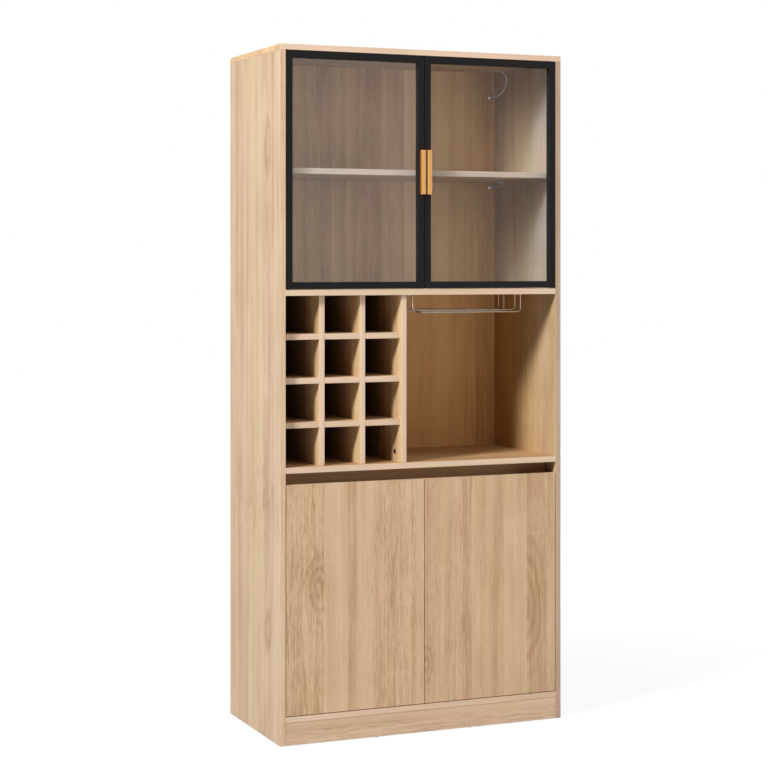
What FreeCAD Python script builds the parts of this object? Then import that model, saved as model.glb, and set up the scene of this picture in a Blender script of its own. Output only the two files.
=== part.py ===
import FreeCAD, Part
import Sketcher
import math
import os
import re
from FreeCAD import Placement, Rotation, Vector

# A tall display and bar cabinet. It stands on z = 0, its front looks towards -y and x runs to the right.
# Lengths are in millimetres and angles in degrees.

doc = FreeCAD.newDocument("display_cabinet")
sheet = doc.addObject("Spreadsheet::Sheet", "Sizes")

DRIVING_SIZES = {
    # Carcass, heights measured from the floor to the underside of each board
    "width": 810,
    "depth": 400,
    "height": 1800,
    "board": 15,
    "plinth_height": 60,
    "plinth_setback": 1,
    "bay_floor_level": 698.5,
    "middle_level": 1154,
    "glide_thickness": 2,
    "glide_radius": 6.5,
    "glide_inset": 40,
    # Back sheets in their grooves
    "back_recess": 25,
    "back_sheet": 3,
    "back_groove": 6,
    "groove_play": 0.2,
    "joint_strip_height": 24,
    "joint_strip_thickness": 1.5,
    "joint_strip_web": 1,
    # Bottle rack and open bay
    "rack_cell": 98.7,
    "rack_setback": 18,
    "divider_setback": 8,
    "rack_back_play": 1,
    "lap_play": 0.2,
    # Loose shelves
    "display_shelf_rise": 300,
    "display_shelf_setback": 27,
    "storage_shelf_rise": 290,
    "storage_shelf_setback": 60,
    "shelf_end_play": 1,
    "shelf_back_play": 2,
    "shelf_pin_radius": 2.5,
    "shelf_pin_length": 16,
    "shelf_pin_inset": 50,
    # Grip recess over the lower doors
    "grip_height": 29.5,
    "grip_depth": 65,
    "grip_rail_height": 60,
    # Knock-down fittings
    "fit_play": 0.05,
    "bore_play": 0.3,
    "cam_radius": 7.5,
    "cam_height": 12,
    "cam_inset": 26,
    "cam_row_inset": 48,
    "bolt_radius": 3,
    "bolt_bite": 10,
    "bolt_overrun": 3,
    "dowel_radius": 4,
    "dowel_length": 30,
    "dowel_bite": 10,
    "back_screw_radius": 1.5,
    "back_screw_length": 15,
    "back_screw_head_radius": 3.5,
    "back_screw_head_height": 1.5,
    "back_screw_inset": 30,
    # Doors
    "door_gap": 2,
    "frame_width": 17,
    "frame_depth": 20,
    "glass_thickness": 4,
    "gasket_wall": 0.8,
    "gasket_proud": 1.2,
    "glass_groove": 6,
    "pivot_edge": 9,
    "pivot_front": 5,
    "pivot_radius": 2.5,
    "pivot_in_door": 16,
    "pivot_in_bush": 7,
    "bush_radius": 4,
    "bush_depth": 10,
    "bush_flange_radius": 5,
    "thrust_play": 0.3,
    "catch_width": 14,
    "catch_depth": 12,
    "catch_height": 12,
    "catch_play": 0.3,
    "catch_peg_radius": 2,
    "catch_peg_length": 8,
    # Handles
    "handle_width": 12.5,
    "handle_reach": 15,
    "handle_length": 117,
    "handle_edge_inset": 1.3,
    "handle_chamfer": 0.8,
    "handle_screw_spacing": 96,
    "handle_screw_radius": 2,
    "handle_screw_bite": 10,
    "handle_screw_head_radius": 3.5,
    "handle_screw_head_height": 2,
    # Concealed hinges of the lower doors
    "hinge_edge": 22.5,
    "hinge_front": 8,
    "hinge_end_inset": 90,
    "cup_radius": 17.5,
    "cup_depth": 11.5,
    "cup_wall": 1.5,
    "cup_flange_radius": 20,
    "cup_flange": 1,
    "hinge_pin_radius": 1.4,
    "hinge_pin_length": 34.4,
    "arm_eye_radius": 2.6,
    "arm_width": 12,
    "arm_thickness": 2.4,
    "arm_reach": 18,
    "arm_clear": 30,
    "hinge_plate_start": 27,
    "hinge_plate_length": 48,
    "hinge_plate_height": 44,
    "hinge_plate_thickness": 2,
    "plate_screw_spacing": 32,
    "plate_screw_radius": 2,
    "plate_screw_length": 11,
    "plate_screw_head_radius": 3.5,
    "plate_screw_head_height": 2,
    # Wire rack for stemware
    "wire_radius": 2,
    "stem_rack_front": 95,
    "stem_loop_width": 33,
    "stem_loop_pitch": 101,
    "stem_loop_right_inset": 59,
    "stem_loop_left_inset": 73.9,
    "stem_loop_drop": 49,
    "stem_loop_rise": 5,
    "stem_bend_radius": 8,
    "stem_hanger_radius": 12,
    "stem_weld_bite": 0.8,
    "stem_plate_thickness": 2,
    "stem_plate_width": 14,
    "stem_plate_margin": 12,
    "stem_screw_radius": 1.75,
    "stem_screw_length": 11,
    "stem_screw_head_radius": 3.5,
    "stem_screw_head_height": 2,
    # Lights
    "light_length": 690,
    "light_width": 10,
    "light_thickness": 4,
    "light_setback": 270,
    "lead_radius": 1.25,
    "socket_radius": 7.5,
    "socket_front": 2.5,
    "socket_barrel_radius": 5,
    "socket_barrel_length": 12,
    "socket_inset": 13,
    "top_socket_drop": 69,
    "shelf_socket_drop": 12,
}

for row, (alias, value) in enumerate(DRIVING_SIZES.items(), start=1):
    sheet.set(f"A{row}", alias)
    sheet.set(f"B{row}", str(value))
    sheet.setAlias(f"B{row}", alias)
doc.recompute()

ALIAS_WORD = re.compile(r"[a-z][a-z_]+")


def expression(text):
    """Turn a formula written with size names into one that the document can follow."""
    return ALIAS_WORD.sub(lambda found: "Sizes." + found.group(0) if found.group(0) in DRIVING_SIZES
                          else found.group(0), str(text))


def size(name):
    """Read one driving size from the sheet."""
    return float(sheet.get(name))


def bind(target, formulas):
    """Bind properties of an object to formulas."""
    for name, text in formulas.items():
        target.setExpression(name, expression(text))
    return target


def place(target, x, y, z):
    return bind(target, {"Placement.Base.x": x, "Placement.Base.y": y, "Placement.Base.z": z})


# Places that many pieces share, as formulas
INNER = "(width / 2 - board)"
BOTTOM_TOP = "(plinth_height + board)"
BAY_BOTTOM = "(bay_floor_level + board)"
DISPLAY_BOTTOM = "(middle_level + board)"
CEILING = "(height - board)"
DISPLAY_SHELF = f"({DISPLAY_BOTTOM} + display_shelf_rise)"
STORAGE_SHELF = f"({BOTTOM_TOP} + storage_shelf_rise)"
BACK_SETBACK = "(depth - back_recess)"
JOINT_LEVEL = "(bay_floor_level + board / 2)"


def behind_front(distance):
    """The y of a plane at a distance behind the carcass's front edges."""
    return f"(-(depth - handle_reach) / 2 + ({distance}))"


BACK_FACE = behind_front(BACK_SETBACK)

nodes = []


def keep(target, label):
    """Give a finished sub-part the name of its file."""
    target.Label = label
    nodes.append(target)
    return target


def block(name, low, high):
    """A box between two corners, each a triple of formulas."""
    box = doc.addObject("Part::Box", name)
    bind(box, {prop: f"({top}) - ({bottom})"
               for prop, bottom, top in zip(("Length", "Width", "Height"), low, high)})
    return place(box, *low)


TURNS = {
    "+x": Rotation(Vector(0, 1, 0), 90),
    "-x": Rotation(Vector(0, 1, 0), -90),
    "+y": Rotation(Vector(1, 0, 0), -90),
    "-y": Rotation(Vector(1, 0, 0), 90),
    "+z": Rotation(),
    "-z": Rotation(Vector(1, 0, 0), 180),
}


def rod(name, start, way, radius, length):
    """A cylinder from a start point along one of the axes."""
    cylinder = doc.addObject("Part::Cylinder", name)
    cylinder.Placement = Placement(Vector(), TURNS[way])
    bind(cylinder, {"Radius": radius, "Height": length})
    return place(cylinder, *start)


def fuse(name, pieces):
    if len(pieces) == 1:
        return pieces[0]
    union = doc.addObject("Part::MultiFuse", name)
    union.Shapes = pieces
    return union


def cut(name, base, tools):
    remainder = doc.addObject("Part::Cut", name)
    remainder.Base = base
    remainder.Tool = fuse(name + "_tools", tools)
    return remainder


def group(name, pieces):
    """Separate solids that share one node."""
    compound = doc.addObject("Part::Compound", name)
    compound.Links = pieces
    return compound


def outward(side):
    """The axis that points from the middle of the cabinet to one side."""
    return "+x" if side > 0 else "-x"


SIDES = {"left": -1, "right": 1}

# Fittings are collected while the boards are laid out, with the holes that they need in each board.
holes = {}
cam_bodies = []
cam_channels = []
cam_bolts = []
dowels = []


def drill(board, tool):
    holes.setdefault(board, []).append(tool)


def cam_joint(name, board, post, centre, pocket_way, bolt_way, pocket_start):
    """A cam lock in one board that draws the bolt in the next board tight."""
    reach = "cam_inset + bolt_bite + bolt_overrun"
    start = [f"{value} {sign} bolt_overrun" if sign else value
             for value, sign in zip(centre, bolt_offsets(bolt_way))]
    cam_bodies.append(rod(name + "_cam", pocket_start, pocket_way, "cam_radius", "cam_height"))
    drill(board, rod(name + "_pocket", pocket_start, pocket_way,
                     "cam_radius + fit_play", "cam_height + bore_play"))
    channel = rod(name + "_channel", start, bolt_way, "bolt_radius + bore_play", "cam_inset + bolt_overrun")
    cam_channels.append(channel)
    drill(board, channel)
    cam_bolts.append(rod(name + "_bolt", start, bolt_way, "bolt_radius", reach))
    drill(post, rod(name + "_bolt_hole", start, bolt_way, "bolt_radius + fit_play", reach + " + fit_play"))


def bolt_offsets(bolt_way):
    """The signs that move a point back along a bolt, past the cam's middle."""
    opposite = "-" if bolt_way[0] == "+" else "+"
    return [opposite if bolt_way[1] == letter else "" for letter in "xyz"]


def dowel_joint(name, board, post, end, way):
    """A wooden dowel across the joint between a board's end and the next board."""
    start = [f"{value} {sign} (dowel_length - dowel_bite)" if sign else value
             for value, sign in zip(end, bolt_offsets(way))]
    dowels.append(rod(name + "_dowel", start, way, "dowel_radius", "dowel_length"))
    hole = rod(name + "_dowel_hole", start, way, "dowel_radius + fit_play", "dowel_length + fit_play")
    drill(board, hole)
    drill(post, hole)


# Fixed boards between the side panels, each held by two cams and a dowel at each end
FIXED_BOARDS = {
    "middle_panel": "middle_level",
    "bay_floor_panel": "bay_floor_level",
    "bottom_panel": "plinth_height",
}
CAM_ROWS = {"front": "cam_row_inset", "rear": f"{BACK_SETBACK} - cam_row_inset"}

blanks = {}
for board_name, level in FIXED_BOARDS.items():
    blanks[board_name] = block(board_name + "_blank",
                               (f"-{INNER}", behind_front(0), level),
                               (INNER, BACK_FACE, f"{level} + board"))
    for side_name, side in SIDES.items():
        for row_name, row_depth in CAM_ROWS.items():
            centre = (f"{side} * ({INNER} - cam_inset)", behind_front(row_depth), f"{level} + board / 2")
            cam_joint(f"{board_name}_{side_name}_{row_name}", board_name, side_name + "_side_panel",
                      centre, "+z", outward(side), (centre[0], centre[1], level))
        dowel_joint(f"{board_name}_{side_name}", board_name, side_name + "_side_panel",
                    (f"{side} * {INNER}", behind_front(f"{BACK_SETBACK} / 2"), f"{level} + board / 2"),
                    outward(side))

# The top panel lies over the side panels, whose cams draw it down
blanks["top_panel"] = block("top_panel_blank", ("-width / 2", behind_front(0), CEILING),
                            ("width / 2", behind_front("depth"), "height"))
for side_name, side in SIDES.items():
    middle_of_side = f"{side} * ({INNER} + board / 2)"
    for row_name, row_depth in CAM_ROWS.items():
        centre = (middle_of_side, behind_front(row_depth), f"{CEILING} - cam_inset")
        cam_joint(f"top_panel_{side_name}_{row_name}", side_name + "_side_panel", "top_panel",
                  centre, outward(side), "+z", (f"{side} * {INNER}", centre[1], centre[2]))
    dowel_joint("top_panel_" + side_name, side_name + "_side_panel", "top_panel",
                (middle_of_side, behind_front(f"{BACK_SETBACK} / 2"), CEILING), "+z")

# Plinth, and the recessed rail behind the grip over the lower doors
blanks["plinth_board"] = block("plinth_blank",
                               (f"-{INNER}", behind_front("plinth_setback"), "glide_thickness"),
                               (INNER, behind_front("plinth_setback + board"), "plinth_height"))
blanks["grip_rail"] = block("grip_rail_blank",
                            (f"-{INNER}", behind_front("grip_depth"), "bay_floor_level - grip_rail_height"),
                            (INNER, behind_front("grip_depth + board"), "bay_floor_level"))
for side_name, side in SIDES.items():
    dowel_joint("plinth_" + side_name, "plinth_board", side_name + "_side_panel",
                (f"{side} * {INNER}", behind_front("plinth_setback + board / 2"),
                 "(plinth_height + glide_thickness) / 2"), outward(side))
    dowel_joint("grip_rail_" + side_name, "grip_rail", side_name + "_side_panel",
                (f"{side} * {INNER}", behind_front("grip_depth + board / 2"),
                 "bay_floor_level - grip_rail_height / 2"), outward(side))

# Divider between the bottle rack and the open bay, its cams on the rack side
RACK_COLUMNS = 3
RACK_ROWS = 4
RACK_LEFT = f"-{INNER}"
DIVIDER_LEFT = f"({RACK_LEFT} + {RACK_COLUMNS} * rack_cell + {RACK_COLUMNS - 1} * board)"
blanks["bay_divider"] = block("bay_divider_blank",
                              (DIVIDER_LEFT, behind_front("divider_setback"), BAY_BOTTOM),
                              (f"{DIVIDER_LEFT} + board", BACK_FACE, "middle_level"))
for row_name, row_depth in CAM_ROWS.items():
    for end_name, end_level, inward, way, post in (
            ("foot", BAY_BOTTOM, "+", "-z", "bay_floor_panel"),
            ("head", "middle_level", "-", "+z", "middle_panel")):
        centre = (f"{DIVIDER_LEFT} + board / 2", behind_front(f"{row_depth} + divider_setback / 2"),
                  f"{end_level} {inward} cam_inset")
        cam_joint(f"bay_divider_{end_name}_{row_name}", "bay_divider", post, centre, "+x", way,
                  (DIVIDER_LEFT, centre[1], centre[2]))

# Bottle rack: shelves slotted from the front and dividers slotted from behind lap each other
RACK_FRONT = behind_front("rack_setback")
RACK_BACK = behind_front(f"{BACK_SETBACK} - rack_back_play")
RACK_MIDDLE = behind_front(f"({BACK_SETBACK} - rack_back_play + rack_setback) / 2")
CELL_HEIGHT = f"((middle_level - {BAY_BOTTOM} - {RACK_ROWS - 1} * board) / {RACK_ROWS})"
RACK_DIVIDERS = ("left_rack_divider", "right_rack_divider")
RACK_SHELVES = ("lower_rack_shelf", "centre_rack_shelf", "upper_rack_shelf")


def rack_divider_face(column):
    """The x of the left face of a rack divider, counted from the left."""
    return f"({RACK_LEFT} + {column + 1} * rack_cell + {column} * board)"


def rack_shelf_level(row):
    """The z of the underside of a rack shelf, counted from the lowest."""
    return f"({BAY_BOTTOM} + {row + 1} * {CELL_HEIGHT} + {row} * board)"


for row, shelf_name in enumerate(RACK_SHELVES):
    level = rack_shelf_level(row)
    blanks[shelf_name] = block(shelf_name + "_blank", (RACK_LEFT, RACK_FRONT, level),
                               (DIVIDER_LEFT, RACK_BACK, f"{level} + board"))
    for column in range(len(RACK_DIVIDERS)):
        face = rack_divider_face(column)
        drill(shelf_name, block(f"{shelf_name}_slot_{column}",
                                (f"{face} - lap_play", f"{RACK_FRONT} - board", f"{level} - board"),
                                (f"{face} + board + lap_play", f"{RACK_MIDDLE} + lap_play",
                                 f"{level} + 2 * board")))
    for post, end, way in (("left_side_panel", RACK_LEFT, "-x"), ("bay_divider", DIVIDER_LEFT, "+x")):
        dowel_joint(f"{shelf_name}_{post}", shelf_name, post, (end, RACK_MIDDLE, f"{level} + board / 2"), way)

for column, divider_name in enumerate(RACK_DIVIDERS):
    face = rack_divider_face(column)
    blanks[divider_name] = block(divider_name + "_blank", (face, RACK_FRONT, BAY_BOTTOM),
                                 (f"{face} + board", RACK_BACK, "middle_level"))
    for row in range(len(RACK_SHELVES)):
        level = rack_shelf_level(row)
        drill(divider_name, block(f"{divider_name}_slot_{row}",
                                  (f"{face} - board", f"{RACK_MIDDLE} - lap_play", f"{level} - lap_play"),
                                  (f"{face} + 2 * board", f"{RACK_BACK} + board",
                                   f"{level} + board + lap_play")))

# Side panels with the grooves of the back sheets
GROOVE_FRONT = behind_front(f"{BACK_SETBACK} - groove_play")
GROOVE_REAR = behind_front(f"{BACK_SETBACK} + back_sheet + groove_play")
for side_name, side in SIDES.items():
    face = f"{side} * width / 2"
    low_x, high_x = (face, f"-{INNER}") if side < 0 else (INNER, face)
    blanks[side_name + "_side_panel"] = block(
        side_name + "_side_blank", (low_x, behind_front(0), "glide_thickness"),
        (high_x, behind_front("depth"), CEILING))
    groove_end = f"{side} * ({INNER} + back_groove)"
    low_x, high_x = (groove_end, f"-{INNER} + board") if side < 0 else (f"{INNER} - board", groove_end)
    drill(side_name + "_side_panel", block(side_name + "_back_groove",
                                           (low_x, GROOVE_FRONT, "plinth_height - groove_play"),
                                           (high_x, GROOVE_REAR, f"{CEILING} + back_groove")))
drill("top_panel", block("top_back_groove", (f"-({INNER} + back_groove)", GROOVE_FRONT, f"{CEILING} - board"),
                         (f"{INNER} + back_groove", GROOVE_REAR, f"{CEILING} + back_groove")))

# Back sheets, joined behind the bay floor by a strip of T section
SHEET_EDGE = f"({INNER} + back_groove - groove_play)"
SHEET_REAR = behind_front(f"{BACK_SETBACK} + back_sheet")
blanks["lower_back_sheet"] = block("lower_back_blank", (f"-{SHEET_EDGE}", BACK_FACE, "plinth_height"),
                                   (SHEET_EDGE, SHEET_REAR, f"{JOINT_LEVEL} - joint_strip_web / 2"))
blanks["upper_back_sheet"] = block("upper_back_blank",
                                   (f"-{SHEET_EDGE}", BACK_FACE, f"{JOINT_LEVEL} + joint_strip_web / 2"),
                                   (SHEET_EDGE, SHEET_REAR, f"{CEILING} + back_groove - groove_play"))
STRIP_REAR = f"({SHEET_REAR} + joint_strip_thickness)"
blanks["back_joint_strip"] = fuse("joint_strip_blank", [
    block("joint_strip_flange", (f"-{INNER} + board", SHEET_REAR, f"{JOINT_LEVEL} - joint_strip_height / 2"),
          (f"{INNER} - board", STRIP_REAR, f"{JOINT_LEVEL} + joint_strip_height / 2")),
    block("joint_strip_web_bar", (f"-{INNER} + board", BACK_FACE, f"{JOINT_LEVEL} - joint_strip_web / 2"),
          (f"{INNER} - board", STRIP_REAR, f"{JOINT_LEVEL} + joint_strip_web / 2"))])

# Screws from behind, in a row on each fixed board that the back sheets cross
SCREW_ROWS = {
    "middle": ("middle_level + board / 2", SHEET_REAR, ("upper_back_sheet", "middle_panel")),
    "joint": (JOINT_LEVEL, STRIP_REAR,
              ("upper_back_sheet", "lower_back_sheet", "back_joint_strip", "bay_floor_panel")),
    "bottom": ("plinth_height + board / 2", SHEET_REAR, ("lower_back_sheet", "bottom_panel")),
}
SCREWS_PER_ROW = 4
back_screws = []
for row_name, (level, seat, drilled) in SCREW_ROWS.items():
    for number in range(SCREWS_PER_ROW):
        across = f"({2 * number} / {SCREWS_PER_ROW - 1} - 1) * ({INNER} - back_screw_inset)"
        name = f"back_screw_{row_name}_{number}"
        back_screws.append(fuse(name, [
            rod(name + "_head", (across, seat, level), "+y", "back_screw_head_radius", "back_screw_head_height"),
            rod(name + "_shank", (across, f"{seat} + back_screw_head_height", level), "-y",
                "back_screw_radius", "back_screw_length + back_screw_head_height")]))
        bore = rod(name + "_bore", (across, f"{seat} + board", level), "-y", "back_screw_radius + fit_play",
                   "back_screw_length + board + fit_play")
        for drilled_name in drilled:
            drill(drilled_name, bore)

# Loose shelves on pins
SHELVES = {
    "display_shelf": (DISPLAY_SHELF, "display_shelf_setback"),
    "storage_shelf": (STORAGE_SHELF, "storage_shelf_setback"),
}
shelf_pins = []
for shelf_name, (level, setback) in SHELVES.items():
    blanks[shelf_name] = block(shelf_name + "_blank",
                               (f"-{INNER} + shelf_end_play", behind_front(setback), level),
                               (f"{INNER} - shelf_end_play", behind_front(f"{BACK_SETBACK} - shelf_back_play"),
                                f"{level} + board"))
    for side_name, side in SIDES.items():
        for row_name, row_depth in (("front", f"{setback} + shelf_pin_inset"),
                                    ("rear", f"{BACK_SETBACK} - shelf_pin_inset")):
            name = f"{shelf_name}_pin_{side_name}_{row_name}"
            start = (f"{side} * ({INNER} - shelf_pin_length / 2)", behind_front(row_depth),
                     f"{level} - shelf_pin_radius")
            shelf_pins.append(rod(name, start, outward(side), "shelf_pin_radius", "shelf_pin_length"))
            drill(side_name + "_side_panel", rod(name + "_hole", start, outward(side),
                                                 "shelf_pin_radius + fit_play", "shelf_pin_length + fit_play"))

# Pivot hinges of the glass doors: bushes in the boards above and below, pins in the doors
GLASS_DOOR_LOW = f"({DISPLAY_BOTTOM} + door_gap)"
GLASS_DOOR_HIGH = f"({CEILING} - door_gap)"
DOOR_WIDTH = f"({INNER} - 1.5 * door_gap)"


def from_hinge_edge(side, distance):
    """The x of a place on a closed door, measured from its hinge edge towards the middle."""
    return f"({side} * ({INNER} - door_gap - ({distance})))"


pivot_bushes = []
pivot_pins = {}
PIVOT_ENDS = {
    "upper": (CEILING, GLASS_DOOR_HIGH, "+z", "-z", "top_panel", "top_rail"),
    "lower": (DISPLAY_BOTTOM, GLASS_DOOR_LOW, "-z", "+z", "middle_panel", "bottom_rail"),
}
for side_name, side in SIDES.items():
    pivot_pins[side_name] = []
    axis = (from_hinge_edge(side, "pivot_edge"), behind_front("pivot_front"))
    for end_name, (board_face, door_end, way_out, way_in, board_name, rail) in PIVOT_ENDS.items():
        name = f"{side_name}_{end_name}_pivot"
        outer = fuse(name + "_bush_blank", [
            rod(name + "_barrel", (*axis, board_face), way_out, "bush_radius", "bush_depth"),
            rod(name + "_flange", (*axis, board_face), way_in, "bush_flange_radius", "door_gap - thrust_play")])
        bore = rod(name + "_bush_bore", (*axis, door_end), way_out, "pivot_radius + fit_play",
                   "door_gap + pivot_in_bush + 1")
        pivot_bushes.append(cut(name + "_bush", outer, [bore]))
        drill(board_name, rod(name + "_bush_hole", (*axis, board_face), way_out, "bush_radius + fit_play",
                              "bush_depth + fit_play"))
        pin_start = (*axis, f"{door_end} {'-' if way_out == '+z' else '+'} pivot_in_door")
        pivot_pins[side_name].append(rod(name + "_pin", pin_start, way_out, "pivot_radius",
                                         "pivot_in_door + door_gap + pivot_in_bush"))
        pin_hole = rod(name + "_pin_hole", pin_start, way_out, "pivot_radius + fit_play",
                       "pivot_in_door + board")
        drill(side_name + "_glass_door_hinge_stile", pin_hole)
        drill(f"{side_name}_glass_door_{rail}", pin_hole)

# Magnetic catches under the ceiling, behind the free stiles of the glass doors
catches = []
for side_name, side in SIDES.items():
    name = side_name + "_catch"
    middle_x = from_hinge_edge(side, f"{DOOR_WIDTH} - frame_width / 2")
    catch_front = behind_front("frame_depth + catch_play")
    peg_start = (middle_x, f"{catch_front} + catch_depth / 2", CEILING)
    catches.append(fuse(name, [
        block(name + "_body", (f"{middle_x} - catch_width / 2", catch_front, f"{CEILING} - catch_height"),
              (f"{middle_x} + catch_width / 2", f"{catch_front} + catch_depth", CEILING)),
        rod(name + "_peg", peg_start, "+z", "catch_peg_radius", "catch_peg_length")]))
    drill("top_panel", rod(name + "_peg_hole", peg_start, "+z", "catch_peg_radius + fit_play",
                           "catch_peg_length + fit_play"))

# Lights under the ceiling and under the display shelf, each fed through a socket in the back sheet
LIGHTS = {
    "top": (CEILING, f"({CEILING} - top_socket_drop)"),
    "shelf": (DISPLAY_SHELF, f"({DISPLAY_SHELF} - shelf_socket_drop)"),
}
SOCKET_X = f"({INNER} - socket_inset)"
sockets = []
for light_name, (seat, socket_level) in LIGHTS.items():
    keep(block(light_name + "_light", ("-light_length / 2", behind_front("light_setback"),
                                       f"{seat} - light_thickness"),
               ("light_length / 2", behind_front("light_setback + light_width"), seat)),
         light_name + "_light_strip")
    sockets.append(fuse(light_name + "_socket", [
        rod(light_name + "_socket_face", (SOCKET_X, BACK_FACE, socket_level), "-y",
            "socket_radius", "socket_front"),
        rod(light_name + "_socket_barrel", (SOCKET_X, BACK_FACE, socket_level), "+y",
            "socket_barrel_radius", "socket_barrel_length")]))
    drill("upper_back_sheet", rod(light_name + "_socket_hole",
                                  (SOCKET_X, f"{BACK_FACE} - board", socket_level), "+y",
                                  "socket_barrel_radius + fit_play", "3 * board"))

# Concealed hinges of the lower doors. One pin stands in for the linkage of each hinge.
WOOD_DOOR_LOW = f"({BOTTOM_TOP} + door_gap)"
WOOD_DOOR_HIGH = "(bay_floor_level - grip_height)"
HINGE_LEVELS = {
    "low": f"({WOOD_DOOR_LOW} + hinge_end_inset)",
    "high": f"({WOOD_DOOR_HIGH} - hinge_end_inset)",
}
DOOR_BACK = behind_front("board")
hinge_plates = []
plate_screws = []
hinge_pins = []
hinge_cups = {}
for side_name, side in SIDES.items():
    hinge_cups[side_name] = []
    panel_face = f"{side} * {INNER}"
    for level_name, level in HINGE_LEVELS.items():
        name = f"{side_name}_{level_name}_hinge"
        axis_x = from_hinge_edge(side, "hinge_edge")
        plate_x = f"{side} * ({INNER} - hinge_plate_thickness)"
        low_x, high_x = (panel_face, plate_x) if side < 0 else (plate_x, panel_face)
        plate_front = "hinge_front + hinge_plate_start"
        plate = block(name + "_plate_blank",
                      (low_x, behind_front(plate_front), f"{level} - hinge_plate_height / 2"),
                      (high_x, behind_front(f"{plate_front} + hinge_plate_length"),
                       f"{level} + hinge_plate_height / 2"))
        plate_holes = []
        for step in (-1, 1):
            screw_name = f"{name}_screw_{'low' if step < 0 else 'high'}"
            seat = (plate_x, behind_front(f"{plate_front} + hinge_plate_length / 2"),
                    f"{level} + {step} * plate_screw_spacing / 2")
            head_end = (f"{side} * ({INNER} - hinge_plate_thickness - plate_screw_head_height)", seat[1], seat[2])
            plate_screws.append(fuse(screw_name, [
                rod(screw_name + "_head", head_end, outward(side), "plate_screw_head_radius",
                    "plate_screw_head_height"),
                rod(screw_name + "_shank", head_end, outward(side), "plate_screw_radius",
                    "plate_screw_head_height + plate_screw_length")]))
            bore = rod(screw_name + "_bore", head_end, outward(side), "plate_screw_radius + fit_play",
                       "plate_screw_head_height + plate_screw_length + fit_play")
            plate_holes.append(bore)
            drill(side_name + "_side_panel", bore)
        hinge_plates.append(cut(name + "_plate", plate, plate_holes))

        pin_start = (axis_x, behind_front("hinge_front"), f"{level} - hinge_pin_length / 2")
        hinge_pins.append(rod(name + "_pin", pin_start, "+z", "hinge_pin_radius", "hinge_pin_length"))

        cup_seat = (axis_x, DOOR_BACK, level)
        cup_blank = fuse(name + "_cup_blank", [
            rod(name + "_cup_barrel", cup_seat, "-y", "cup_radius", "cup_depth"),
            rod(name + "_cup_rim", cup_seat, "+y", "cup_flange_radius", "cup_flange")])
        cup_inside = rod(name + "_cup_inside", (axis_x, f"{DOOR_BACK} + 2 * cup_flange", level), "-y",
                         "cup_radius - cup_wall", "cup_depth - cup_wall + 2 * cup_flange")
        pin_bore = rod(name + "_pin_bore", (pin_start[0], pin_start[1], f"{level} - cup_radius"), "+z",
                       "hinge_pin_radius + fit_play", "2 * cup_radius")
        hinge_cups[side_name].append(cut(name + "_cup", cup_blank, [cup_inside, pin_bore]))
        drill(side_name + "_wood_door_panel",
              rod(name + "_cup_hole", cup_seat, "-y", "cup_radius + fit_play", "cup_depth + fit_play"))


def sketch_polygon(body, plane_role, offset, corners):
    """A closed outline of straight lines on one of the body's planes, each corner held by its formulas."""
    plane = next(feature for feature in body.Origin.OriginFeatures if feature.Role == plane_role)
    sketch = body.newObject("Sketcher::SketchObject", body.Name + "_outline")
    sketch.AttachmentSupport = [(plane, "")]
    sketch.MapMode = "FlatFace"
    sketch.setExpression("AttachmentOffset.Base.z", expression(offset))
    points = [Vector(*(evaluate(value) for value in corner), 0) for corner in corners]
    count = len(points)
    for number in range(count):
        sketch.addGeometry(Part.LineSegment(points[number], points[(number + 1) % count]))
    for number in range(count):
        sketch.addConstraint(Sketcher.Constraint("Coincident", number, 2, (number + 1) % count, 1))
    for number, corner in enumerate(corners):
        for kind, formula, value in (("DistanceX", corner[0], points[number].x),
                                     ("DistanceY", corner[1], points[number].y)):
            held = sketch.addConstraint(Sketcher.Constraint(kind, -1, 1, number, 1, value))
            sketch.setExpression(f"Constraints[{held}]", expression(formula))
    return sketch


def evaluate(formula):
    """The number that a formula gives now."""
    return float(sheet.evalExpression(expression(formula).replace("Sizes.", "")))


def padded_outline(name, offset, corners, thickness):
    """A PartDesign body made from one outline in the front view, padded towards the back."""
    body = doc.addObject("PartDesign::Body", name)
    sketch = sketch_polygon(body, "XZ_Plane", offset, corners)
    pad = body.newObject("PartDesign::Pad", name + "_pad")
    pad.Profile = sketch
    pad.Reversed = True
    bind(pad, {"Length": thickness})
    sketch.Visibility = False
    return body


FRONT_OFFSET = "(depth - handle_reach) / 2"

# Wooden doors: flush panels without handles
for side_name, side in SIDES.items():
    corners = [(from_hinge_edge(side, across), up) for across, up in (
        ("0", WOOD_DOOR_LOW), (DOOR_WIDTH, WOOD_DOOR_LOW),
        (DOOR_WIDTH, WOOD_DOOR_HIGH), ("0", WOOD_DOOR_HIGH))]
    blanks[side_name + "_wood_door_panel"] = padded_outline(
        side_name + "_wood_door_body", FRONT_OFFSET, corners, "board")
    keep(group(side_name + "_cups", hinge_cups[side_name]), side_name + "_wood_door_hinge_cups")

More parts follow.
